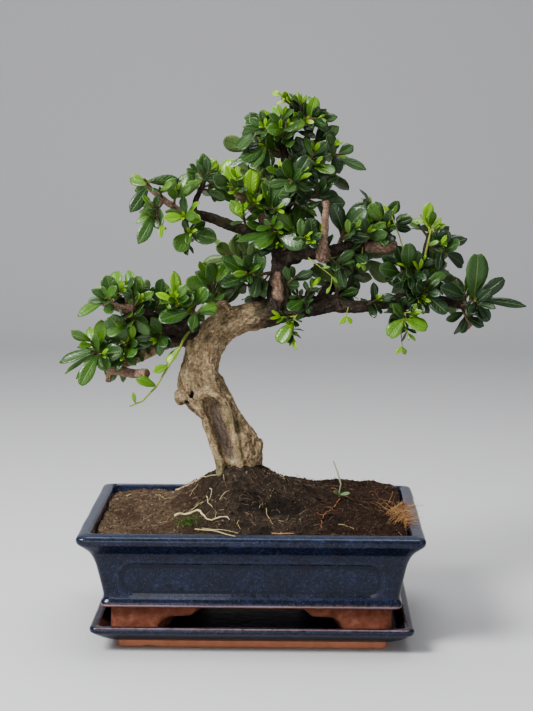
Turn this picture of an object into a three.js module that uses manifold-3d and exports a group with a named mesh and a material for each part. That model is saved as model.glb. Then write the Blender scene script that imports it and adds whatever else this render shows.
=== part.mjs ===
// Fukien tea bonsai in a glazed pot, standing on its drip tray.
// Millimetres, +Z up, +X to the right, +Y to the back.
// The origin is the centre of the tray's underside, on the surface it stands on.

import * as THREE from 'three';
import { mergeVertices } from 'three/addons/utils/BufferGeometryUtils.js';
import Module from 'manifold-3d';

const wasm = await Module();
wasm.setup();

// Driving dimensions
const CLEAR = 0.3;            // gap between neighbouring pieces

const TRAY = {
  halfX: 140, halfY: 105, corner: 6,
  footX: 117.5, footY: 83, footHeight: 6.5,
  underZ: 13, sideZ: 18, rimZ: 23.3, rimWidth: 7, floorZ: 14,
};

const POT = {
  centreX: -1, centreY: 5,
  halfX: 150, halfY: 114, corner: 7,
  baseZ: TRAY.floorZ + CLEAR,
  bodyZ: 37, floorZ: 46, rimZ: 105, lipWidth: 11.5,
};

// Half width of the pot's outside at each height, measured at the rim as POT.halfX
const POT_OUTSIDE = [
  [130.8, 37], [131.7, 41.5], [129.3, 43.5], [129.2, 48], [135.2, 77],
  [139.2, 87], [148.4, 95.3], [150, 97.5], [150, 101.8], [148.8, 103.4],
];

const FOOT = {
  halfX: 123, halfY: 86.5, wall: 16, corner: 8,
  // Cut-out between two feet: distance from its middle at each height over the base, as a share
  outline: [[1, 0], [0.93, 0.36], [0.86, 0.53], [0.64, 0.58], [0.56, 0.84], [0.47, 1.0]],
  frontHalf: 84, sideHalf: 50,
};

const PANEL = { bottomZ: 48, topZ: 77, inset: 19, depth: 1.3 };

const DRAIN = { x: 62, radius: 11 };
const SCREEN = { half: 18, thick: 1.4, bar: 3, cells: 2 };

const SOIL = {
  rimDrop: 4.5, moundHeight: 42, moundX: -13, moundY: 6, spreadX: 64, spreadY: 54,
  wallGap: CLEAR + 0.2, cornerDraw: 1.9, perSide: 6, shares: [0.98, 0.84, 0.68, 0.52, 0.36, 0.22],
};

const LEAF = {
  thick: 0.62, fold: 0.16, arch: 0.10, notchedFrom: 12, room: 3, tries: 16,
  // Leaves face the front before this Y and the back behind it, and look up by this much
  frontY: 12, lightUp: 0.55,
};
// Shares of a twig's length where its first and last leaves stand
const FIRST_LEAF = 0.42;
const LAST_LEAF = 0.93;
// A twig with this many leaves or more forks once
const FORK = { leaves: 7, share: 0.6, turn: 0.9, rise: 0.12, length: 16 };

const COLOURS = {
  glaze: '#26314f', soil: '#4a3325', bark: '#8d7556', leaf: '#2c5228', young: '#93b62c',
  mesh: '#20231f', weed: '#6f8f3a',
};

const { PI, sin, cos, max, min, abs, exp, hypot } = Math;
const V = (x, y, z) => new THREE.Vector3(x, y, z);
const ASIDE = V(0.31, 0.17, 0.93);       // a direction that no twig runs along

// Solids from triangles

function solid(geometry) {
  const bare = geometry.clone();
  bare.deleteAttribute('normal');
  bare.deleteAttribute('uv');
  const merged = mergeVertices(bare, 1e-4);
  return new wasm.Manifold(new wasm.Mesh({
    numProp: 3,
    vertProperties: new Float32Array(merged.attributes.position.array),
    triVerts: new Uint32Array(merged.index.array),
  }));
}

function geometryOf(manifold) {
  const mesh = manifold.getMesh();
  const geometry = new THREE.BufferGeometry();
  geometry.setAttribute('position', new THREE.BufferAttribute(mesh.vertProperties, 3));
  geometry.setIndex(new THREE.BufferAttribute(mesh.triVerts, 1));
  geometry.computeVertexNormals();
  return geometry;
}

function indexed(points, faces) {
  const geometry = new THREE.BufferGeometry();
  const flat = points.flatMap((p) => [p.x, p.y, p.z]);
  geometry.setAttribute('position', new THREE.Float32BufferAttribute(flat, 3));
  geometry.setIndex(faces.flat());
  return geometry;
}

// A closed skin over rings of points. The rings run anticlockwise round the way of travel.
function loft(rings) {
  const count = rings[0].length;
  const points = rings.flat();
  const faces = [];
  for (let k = 0; k + 1 < rings.length; k += 1) {
    for (let i = 0; i < count; i += 1) {
      const a = k * count + i;
      const b = k * count + ((i + 1) % count);
      faces.push([a, b, b + count], [a, b + count, a + count]);
    }
  }
  const end = (rings.length - 1) * count;
  for (let i = 1; i + 1 < count; i += 1) {
    faces.push([0, i + 1, i], [end, end + i, end + i + 1]);
  }
  return solid(indexed(points, faces));
}

function roundedRing(halfX, halfY, radius, z, centre, steps = 3) {
  const ring = [];
  const corners = [[1, 1, 0], [-1, 1, 1], [-1, -1, 2], [1, -1, 3]];
  for (const [sx, sy, quarter] of corners) {
    for (let i = 0; i <= steps; i += 1) {
      const angle = (quarter + i / steps) * PI / 2;
      ring.push(V(
        centre[0] + sx * (halfX - radius) + radius * cos(angle),
        centre[1] + sy * (halfY - radius) + radius * sin(angle),
        z,
      ));
    }
  }
  return ring;
}

// A round stem through points of [x, y, z, radius], with its ends cut flat
function stem(points, sides, extra = 0) {
  const place = points.map(([x, y, z]) => V(x, y, z));
  const rings = [];
  let side = ASIDE;
  place.forEach((at, i) => {
    const before = place[max(i - 1, 0)];
    const after = place[min(i + 1, place.length - 1)];
    const along = after.clone().sub(before).normalize();
    side = side.clone().addScaledVector(along, -side.dot(along)).normalize();
    const up = along.clone().cross(side);
    const centre = at.clone();
    if (i === 0) centre.addScaledVector(along, -extra);
    if (i === place.length - 1) centre.addScaledVector(along, extra);
    rings.push(Array.from({ length: sides }, (_, k) => {
      const angle = (k / sides) * 2 * PI;
      const radius = (points[i][3] + extra) * (1 + 0.05 * sin(3 * k + 2 * i));
      return centre.clone()
        .addScaledVector(side, radius * cos(angle))
        .addScaledVector(up, radius * sin(angle));
    }));
  });
  return loft(rings);
}

function knob([x, y, z], radius, stretch = [1, 1, 1], extra = 0) {
  const geometry = new THREE.IcosahedronGeometry(radius + extra, radius > 8.5 ? 1 : 0);
  geometry.scale(...stretch);
  geometry.translate(x, y, z);
  return solid(geometry);
}

function box(x0, x1, y0, y1, z0, z1) {
  const geometry = new THREE.BoxGeometry(x1 - x0, y1 - y0, z1 - z0);
  geometry.translate((x0 + x1) / 2, (y0 + y1) / 2, (z0 + z1) / 2);
  return solid(geometry);
}

// Repeatable draws between 0 and 1
function draws(seed) {
  let state = seed * 7919 + 13;
  return () => {
    state = (state * 16807) % 2147483647;
    return state / 2147483647;
  };
}

// Tray: a terracotta foot under a glazed body with a broad flat rim

function makeTray() {
  const t = TRAY;
  const at = (inset, z) => (
    roundedRing(t.halfX - inset, t.halfY - inset, max(t.corner - inset, 1.5), z, [0, 0])
  );
  return loft([
    roundedRing(t.footX, t.footY, 7, 0, [0, 0]),
    roundedRing(t.footX, t.footY, 7, t.footHeight, [0, 0]),
    at(9, t.underZ - 1), at(1.5, t.sideZ - 0.5), at(0, t.sideZ + 0.6),
    at(0, t.rimZ - 1), at(1, t.rimZ),
    at(t.rimWidth, t.rimZ - 0.3), at(t.rimWidth + 5.5, t.floorZ),
  ]);
}

// Pot: outside over the lip and down the inside in one skin, then feet, panels and drain holes

function potRing(half, z, radius = POT.corner) {
  const depth = half - POT.halfX + POT.halfY;
  return roundedRing(half, depth, radius, z, [POT.centreX, POT.centreY]);
}

// Half width of the pot's inside at a height
const INSIDE_LOW = 123;
const potInside = (z) => {
  const share = (z - POT.floorZ) / (POT.rimZ - POT.floorZ);
  return INSIDE_LOW + share * (POT.halfX - POT.lipWidth - INSIDE_LOW);
};

function archCutter(half, alongX) {
  const height = POT.bodyZ - POT.baseZ;
  const shape = new THREE.Shape();
  const right = FOOT.outline.map(([w, h]) => [w * half, POT.baseZ + h * height]);
  const left = [...right].reverse().map(([w, z]) => [-w, z]);
  const outline = [[half, POT.baseZ - 5], ...right, ...left, [-half, POT.baseZ - 5]];
  outline.forEach(([u, z], i) => (i ? shape.lineTo(u, z) : shape.moveTo(u, z)));
  const geometry = new THREE.ExtrudeGeometry(shape, { depth: 400, bevelEnabled: false });
  geometry.translate(0, 0, -200);
  geometry.rotateX(PI / 2);
  if (alongX) geometry.rotateZ(PI / 2);
  geometry.translate(POT.centreX, POT.centreY, 0);
  return solid(geometry);
}

function panelCutter(halfLength, faceHalf, turn) {
  const rise = PANEL.topZ - PANEL.bottomZ;
  const [low, high] = [POT_OUTSIDE[3][0], POT_OUTSIDE[4][0]];
  const lean = Math.atan((high - low) / rise);
  const halfTall = rise / 2 / cos(lean);
  const round = halfTall * 0.8;
  const shape = new THREE.Shape();
  shape.moveTo(-halfLength + round, -halfTall);
  shape.lineTo(halfLength - round, -halfTall);
  shape.absarc(halfLength - round, -halfTall + round, round, -PI / 2, 0);
  shape.absarc(halfLength - round, halfTall - round, round, 0, PI / 2);
  shape.absarc(-halfLength + round, halfTall - round, round, PI / 2, PI);
  shape.absarc(-halfLength + round, -halfTall + round, round, PI, PI * 1.5);
  const geometry = new THREE.ExtrudeGeometry(shape, {
    depth: 12, bevelEnabled: false, curveSegments: 2,
  });
  // The shape stands up facing -Y, leans with the wall, and its inner face lies PANEL.depth deep
  geometry.translate(0, 0, -PANEL.depth);
  geometry.rotateX(PI / 2 + lean);
  geometry.translate(0, -faceHalf, (PANEL.topZ + PANEL.bottomZ) / 2);
  geometry.rotateZ(turn);
  geometry.translate(POT.centreX, POT.centreY, 0);
  return solid(geometry);
}

function makePot() {
  const p = POT;
  const outside = POT_OUTSIDE.map(([half, z]) => potRing(half, z));
  const inside = [
    potRing(p.halfX - p.lipWidth + 1.2, p.rimZ, 6), potRing(p.halfX - p.lipWidth, p.rimZ - 1.2, 6),
    potRing(potInside(p.rimZ - 8), p.rimZ - 8, 6), potRing(potInside(p.floorZ + 4), p.floorZ + 4, 6),
    potRing(potInside(p.floorZ) - 3, p.floorZ, 6),
  ];
  let pot = loft([...outside, ...inside]);

  const ring = (inset, z) => roundedRing(
    FOOT.halfX - inset, FOOT.halfY - inset, FOOT.corner, z, [p.centreX, p.centreY],
  );
  let feet = loft([ring(1.5, p.baseZ), ring(0, p.baseZ + 3), ring(0, p.bodyZ + 3)]);
  feet = feet.subtract(loft([ring(FOOT.wall, p.baseZ - 5), ring(FOOT.wall, p.bodyZ)]));
  feet = feet.subtract(archCutter(FOOT.frontHalf, false)).subtract(archCutter(FOOT.sideHalf, true));
  pot = pot.add(feet);

  const middle = (POT_OUTSIDE[3][0] + POT_OUTSIDE[4][0]) / 2;
  const frontHalf = middle - p.halfX + p.halfY;
  pot = pot.subtract(panelCutter(middle - PANEL.inset, frontHalf, 0));
  pot = pot.subtract(panelCutter(middle - PANEL.inset, frontHalf, PI));
  pot = pot.subtract(panelCutter(frontHalf - PANEL.inset, middle, PI / 2));
  pot = pot.subtract(panelCutter(frontHalf - PANEL.inset, middle, -PI / 2));

  for (const side of [-1, 1]) {
    const hole = new THREE.CylinderGeometry(DRAIN.radius, DRAIN.radius, 30, 12);
    hole.rotateX(PI / 2);
    hole.translate(p.centreX + side * DRAIN.x, p.centreY, p.floorZ - 5);
    pot = pot.subtract(solid(hole));
  }
  return pot;
}

// A square of plastic mesh over a drain hole
function makeScreen(side) {
  const s = SCREEN;
  const x = POT.centreX + side * DRAIN.x;
  const y = POT.centreY;
  const floor = POT.floorZ + CLEAR;
  let screen = box(x - s.half, x + s.half, y - s.half, y + s.half, floor, floor + s.thick);
  const pitch = (2 * s.half - s.bar) / s.cells;
  for (let i = 0; i < s.cells; i += 1) {
    for (let j = 0; j < s.cells; j += 1) {
      const left = x - s.half + s.bar + i * pitch;
      const near = y - s.half + s.bar + j * pitch;
      const open = pitch - s.bar;
      screen = screen.subtract(box(left, left + open, near, near + open, floor - 1, floor + 3));
    }
  }
  return screen;
}

// Soil: follows the pot's inside, with a mound that rises to the foot of the trunk

function soilHeight(x, y) {
  const dx = (x - SOIL.moundX) / (x > SOIL.moundX ? SOIL.spreadX * 1.25 : SOIL.spreadX);
  const dy = (y - SOIL.moundY) / SOIL.spreadY;
  const far = hypot(dx, dy);
  const mound = SOIL.moundHeight * exp(-(far ** 2.2));
  const right = 5 * exp(-(((x - 95) / 50) ** 2)) * (y > -80 ? 1 : 0.3);
  const ripple = 0.9 * sin(x / 9 + y / 13) + 0.7 * sin(y / 7 - x / 17);
  return POT.rimZ - SOIL.rimDrop + mound + right + ripple;
}

// Points round a rectangle, evenly spread over its four sides, with its corners drawn in
function evenRing(halfX, halfY, z, perSide) {
  const ring = [];
  const corners = [[1, -1], [1, 1], [-1, 1], [-1, -1]];
  corners.forEach(([sx, sy], k) => {
    const [nx, ny] = corners[(k + 1) % 4];
    for (let i = 0; i < perSide; i += 1) {
      const share = i / perSide;
      const drawn = i ? 0 : SOIL.cornerDraw;
      ring.push(V(
        POT.centreX + (halfX - drawn) * (sx + (nx - sx) * share),
        POT.centreY + (halfY - drawn) * (sy + (ny - sy) * share),
        z,
      ));
    }
  });
  return ring;
}

function makeSoil(wood, screens) {
  const edge = (z, inset = 0) => {
    const half = potInside(z) - SOIL.wallGap - inset;
    return evenRing(half, half - POT.halfX + POT.halfY, z, SOIL.perSide);
  };
  const top = edge(POT.rimZ - 7);
  const rings = [edge(POT.floorZ + CLEAR, 3.4), edge(POT.floorZ + 5), edge(78), top];
  for (const share of SOIL.shares) {
    rings.push(top.map((p) => {
      const [dx, dy] = [p.x - SOIL.moundX, p.y - SOIL.moundY];
      // Square rings at the wall turn into round ones at the trunk
      const round = SOIL.moundHeight * 2 / hypot(dx, dy);
      const reach = share * (share + (1 - share) * round);
      const [x, y] = [SOIL.moundX + dx * reach, SOIL.moundY + dy * reach];
      return V(x, y, soilHeight(x, y) - (share > 0.95 ? 1.5 : 0));
    }));
  }
  let soil = loft(rings).subtract(wood);
  for (const screen of screens) soil = soil.subtract(screen);
  return largest(soil);
}

function largest(manifold) {
  const bodies = manifold.decompose();
  return bodies.reduce((best, body) => (body.volume() > best.volume() ? body : best));
}

// Tree: the trunk and the main limb that it turns into, as [x, y, z, half width, half depth]

const TRUNK = [
  [-14, 5, 118, 16, 15], [-15, 5, 132, 20, 18], [-14.3, 5, 146, 20.7, 18], [-14.5, 5, 158, 21, 17.5],
  [-18.5, 5, 168, 19.5, 17], [-24, 5, 178, 17, 16], [-30, 5, 190, 16, 16], [-37, 5, 201, 18, 16.5],
  [-45, 5, 211, 20.5, 17], [-49.5, 5, 222, 20, 16], [-50, 5, 232, 17.3, 15.5], [-48.5, 5, 242, 16.2, 15],
  [-46, 5, 253, 16.5, 15], [-39, 5, 264, 15.8, 14.5], [-27, 5, 273, 13.8, 13.5],
  [-11, 5, 279, 12.8, 12.8], [6, 4, 283, 12.5, 12.5], [22, 3, 287, 12, 12], [40, 2, 290, 10, 10],
  [58, 0, 292, 8.5, 8.5], [75, 0, 295, 6.8, 6.8],
];
// The long hollow in the front of the trunk: its middle line as [x, y, z, radius]
const HOLLOW = [
  [-41, -14, 207, 5], [-38, -13, 200, 7], [-33.5, -13, 186, 7.4], [-28.5, -13, 172, 7],
  [-23.5, -13.5, 160, 6], [-20, -14, 150, 4],
];
// Bare smooth heartwood that shows inside the hollow
const HEARTWOOD = [
  [-40, -1, 210, 6], [-36, -2.5, 195, 6], [-30, -3, 176, 5.8], [-24, -4, 160, 5], [-20, -6, 148, 4],
];
const LUMPS = [
  // centre, radius, stretch
  [[-67, 0, 208], 7, [0.9, 1, 1.15]], [[3, 3, 164], 6, [0.8, 1.3, 1]], [[-31, 1, 288], 9, [1.1, 1, 0.9]],
  [[10, 3, 366], 8, [1, 1, 1.1]], [[117, -9, 346], 8.2, [1.1, 0.9, 0.9]], [[151, 2, 330], 6, [0.9, 1, 1.3]],
  [[131, 0, 291], 5.5, [1, 1, 1]],
];

// Limbs, branches, stubs and roots: sides, then points of [x, y, z, radius]
const STEMS = {
  left_strand: [5, [-68, -3, 211, 6], [-58, -9, 205, 5], [-48, -12, 199, 4.4], [-42, -13, 186, 4.2],
    [-37, -12.5, 170, 4.2], [-32, -12, 155, 4.6], [-30, -12, 138, 5], [-32, -14, 124, 4]],
  right_limb: [5, [62, 0, 295, 7.5], [81, 0, 291, 6.2], [98, 0, 291, 5.4], [117, 3, 294, 5.2],
    [134, 5, 298, 5.6], [151, 8, 296, 5.3], [168, 7, 296, 4.6], [188, 3, 292, 4]],
  right_end_stub: [5, [184, 4, 295, 4], [191, 2, 284, 3.8], [191, 1, 277, 4.6], [185, 0, 272, 4.2]],
  upright: [7, [18, 3, 282, 11.5], [21, -2, 299, 10.8], [22, -3, 315, 10], [23, -3, 330, 8.6],
    [20, -1, 345, 7.2], [14, 3, 358, 6.6], [10, 5, 368, 6]],
  scar_stub: [5, [22, -4, 311, 7.5], [21, -12, 314, 7.6], [20, -17, 315, 7]],
  stub_up_left: [5, [12, 4, 364, 5.5], [3, 1, 374, 5], [-9, -4, 385, 4.5], [-21, -8, 397, 3.7]],
  upper_stem: [5, [19, 0, 344, 6.4], [23, 4, 364, 5.4], [26, 5, 385, 4.9], [26, 5, 406, 4.3],
    [26, 4, 421, 3.9], [24, 2, 433, 3.1], [18, 0, 442, 2.6]],
  arm_stub: [5, [26, 5, 414, 3.6], [33, 4, 427, 3.4], [41, 2, 434, 3.6], [47, 0, 439, 4.3]],
  side_stub: [4, [43, 1, 435, 2.8], [48, 0, 447, 3], [50, 0, 456, 3], [51, 0, 464, 2.4]],
  top_stub: [5, [25, 3, 428, 3.2], [31, 2, 442, 3], [33, 0, 458, 3.3], [32, 0, 475, 2.8]],
  right_upper: [5, [22, -2, 333, 8.4], [38, -8, 340, 7.6], [52, -14, 341, 7], [66, -16, 341, 6.4],
    [81, -11, 345, 5.2], [96, -7, 344, 4.8], [106, -4, 351, 4.4], [110, -1, 361, 4], [112, 0, 372, 3.6]],
  tall_stub: [5, [61, -17, 338, 6], [61, -24, 344, 4.6], [61, -30, 359, 3.8], [62, -33, 373, 3.6],
    [62, -34, 386, 3.8]],
  burr_neck: [4, [98, -7, 344, 4.6], [107, -8, 345, 5.4], [116, -9, 346, 6]],
  right_stem: [5, [148, 8, 296, 4.2], [150, 6, 312, 3.4], [151, 2, 328, 4], [152, -2, 344, 2.8],
    [154, -5, 358, 2.1]],
  left_upper: [5, [14, 5, 352, 6], [1, 5, 356, 5.2], [-17, 1, 361, 5], [-36, -9, 369, 4.5],
    [-50, -15, 373, 4.2], [-63, -18, 371, 3.4]],
  top_left_stem: [4, [-60, -17, 371, 3.4], [-71, -20, 380, 3.2], [-81, -22, 387, 2.9], [-94, -25, 398, 2.4]],
  top_left_low: [4, [-62, -18, 372, 3.2], [-61, -16, 364, 2.7], [-60, -16, 357, 2.4]],
  top_left_up: [4, [-56, -16, 372, 3], [-52, -10, 387, 2.6], [-46, -6, 401, 2.2]],
  left_lower: [5, [-46, 4, 262, 11], [-60, 2, 269, 7.8], [-73, -2, 271, 6.6], [-82, -6, 272, 6.2],
    [-89, -11, 279, 5.8], [-100, -16, 287, 5.2], [-116, -21, 290, 4.4], [-127, -25, 293, 3.5],
    [-142, -30, 299, 2.8]],
  left_back: [5, [-52, 8, 259, 8.5], [-67, 12, 259, 7], [-83, 15, 255, 6.3], [-103, 17, 244, 5.4],
    [-118, 12, 238, 5], [-132, 5, 233, 4.8]],
  left_front_stub: [5, [-131, 4, 233, 4.8], [-121, -6, 232, 4.5], [-108, -14, 231, 4.2],
    [-95, -25, 233, 4.2]],
  left_down_stub: [4, [-131, 4, 234, 3.6], [-132, 1, 227, 3], [-133, -1, 221, 2.4]],
  left_tip_stem: [4, [-131, 5, 234, 4], [-139, -4, 241, 3.2], [-145, -14, 248, 2.6]],
  left_mid_stem: [4, [-117, 12, 238, 4.2], [-119, 2, 245, 3.8], [-117, -9, 252, 3.8]],
  inner_stub: [5, [-63, 1, 270, 5.2], [-60, -7, 283, 4.4], [-58, -11, 296, 3.6]],
  back_low: [5, [4, 8, 284, 7.5], [1, 27, 299, 5.6], [-6, 48, 312, 4.5], [-14, 66, 322, 3.2]],
  back_right: [5, [58, 2, 294, 6], [66, 22, 305, 4.8], [78, 42, 314, 3.8], [88, 58, 322, 2.7]],
  back_upper: [5, [22, 5, 358, 5], [14, 24, 368, 4.2], [4, 42, 378, 3.2], [-2, 54, 386, 2.4]],
  back_crown: [4, [25, 6, 384, 4.2], [34, 22, 392, 3.6], [42, 38, 402, 2.6]],
  back_top: [4, [25, 6, 402, 4], [12, 26, 412, 2.9], [4, 40, 424, 2.1]],
  back_left: [4, [-82, 16, 255, 5], [-88, 32, 264, 4], [-98, 48, 272, 3]],
  back_far_right: [4, [135, 6, 298, 4.4], [141, 22, 306, 3.5], [150, 38, 312, 2.7]],
  root_left: [4, [-26, 0, 134, 10], [-48, -6, 118, 7], [-74, -16, 100, 4.5], [-100, -24, 84, 2.4]],
  root_right: [4, [-4, 2, 134, 10], [20, -6, 116, 6.5], [50, -14, 96, 4], [80, -20, 80, 2.2]],
  root_back: [4, [-10, 12, 132, 9], [2, 36, 112, 6], [12, 60, 92, 3.6], [20, 80, 76, 2.2]],
};

// The trunk's rings stand square to its way, with their width in the front view's plane
function trunkRings(extra) {
  const sides = 12;
  return TRUNK.map(([x, y, z, wide, deep], i) => {
    const before = TRUNK[max(i - 1, 0)];
    const after = TRUNK[min(i + 1, TRUNK.length - 1)];
    const along = V(after[0] - before[0], 0, after[2] - before[2]).normalize();
    const right = V(along.z, 0, -along.x);
    return Array.from({ length: sides }, (_, k) => {
      const angle = (k / sides) * 2 * PI;
      const flute = 1 + 0.045 * sin(5 * angle + z / 19) + 0.03 * sin(3 * angle - z / 11);
      return V(x, y, z).addScaledVector(right, (wide + extra) * cos(angle) * flute)
        .add(V(0, (deep + extra) * sin(angle) * flute, 0));
    });
  });
}

function makeWood(extra = 0) {
  let wood = loft(trunkRings(extra));
  if (!extra) wood = wood.subtract(stem(HOLLOW, 6)).add(stem(HEARTWOOD, 5));
  for (const [sides, ...points] of Object.values(STEMS)) wood = wood.add(stem(points, sides, extra));
  for (const [centre, radius, stretch] of LUMPS) wood = wood.add(knob(centre, radius, stretch, extra));
  return wood;
}

// Leaves: broad near the tip, folded a little along the midrib, with a notched end

// Each half of the outline from base to tip, as shares of length and width
const NOTCHED = [[0, 0], [0.6, 0.5], [0.98, 0.3], [0.9, 0]];
const PLAIN = [[0, 0], [0.62, 0.5], [1, 0]];

// Leaves turn their upper faces up and out of the crown, to the front or to the back
function lightAt({ x, y }) {
  const outward = y < LEAF.frontY ? -1 : 1;
  return V((x - SOIL.moundX) * 0.002, outward, LEAF.lightUp).normalize();
}

// Along, across and upper-face directions of a leaf
function leafFrame({ base, tip, roll }) {
  const along = tip.clone().sub(base);
  const length = along.length();
  along.normalize();
  const light = lightAt(base);
  const face = light.addScaledVector(along, -light.dot(along)).normalize();
  face.applyAxisAngle(along, roll * PI / 180);
  return { along, across: face.clone().cross(along), face, length };
}

function leafSolid(leaf, extra) {
  const { along, across, face, length } = leafFrame(leaf);
  const width = leaf.width + 2 * extra;
  const half = leaf.width > LEAF.notchedFrom ? NOTCHED : PLAIN;
  const shift = LEAF.thick / 2 + extra;
  const other = half.slice(1, -1).reverse().map(([t, s]) => [t, -s]);
  const outline = [...half.map(([t, s]) => [t, -s]), ...other.map(([t, s]) => [t, -s])];
  const at = ([t, s], side) => {
    const lift = LEAF.fold * abs(s) * width - LEAF.arch * length * t * t;
    const reach = t * (length + extra) - (t ? 0 : extra);
    return leaf.base.clone().addScaledVector(along, reach).addScaledVector(across, s * width)
      .addScaledVector(face, lift + side * shift);
  };
  const points = [...outline.map((p) => at(p, 1)), ...outline.map((p) => at(p, -1))];
  const n = outline.length;
  const tip = half.length - 1;
  const faces = [];
  const bothFaces = (a, b, c) => faces.push([a, b, c], [n + a, n + c, n + b]);
  bothFaces(0, 1, n - 1);
  bothFaces(1, tip, n - 1);
  for (let i = 2; i < tip; i += 1) bothFaces(1, i, i + 1);
  for (let i = tip; i < n - 2; i += 1) bothFaces(n - 1, i, i + 1);
  for (let i = 0; i < n; i += 1) {
    const j = (i + 1) % n;
    faces.push([n + i, n + j, j], [n + i, j, i]);
  }
  return solid(indexed(points, faces));
}

// Points that stand for a leaf when room is measured
function leafPoints(leaf) {
  const { along, face, length } = leafFrame(leaf);
  return [0.2, 0.45, 0.7, 0.95].map((t) => leaf.base.clone()
    .addScaledVector(along, t * length).addScaledVector(face, -LEAF.arch * length * t * t));
}

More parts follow.
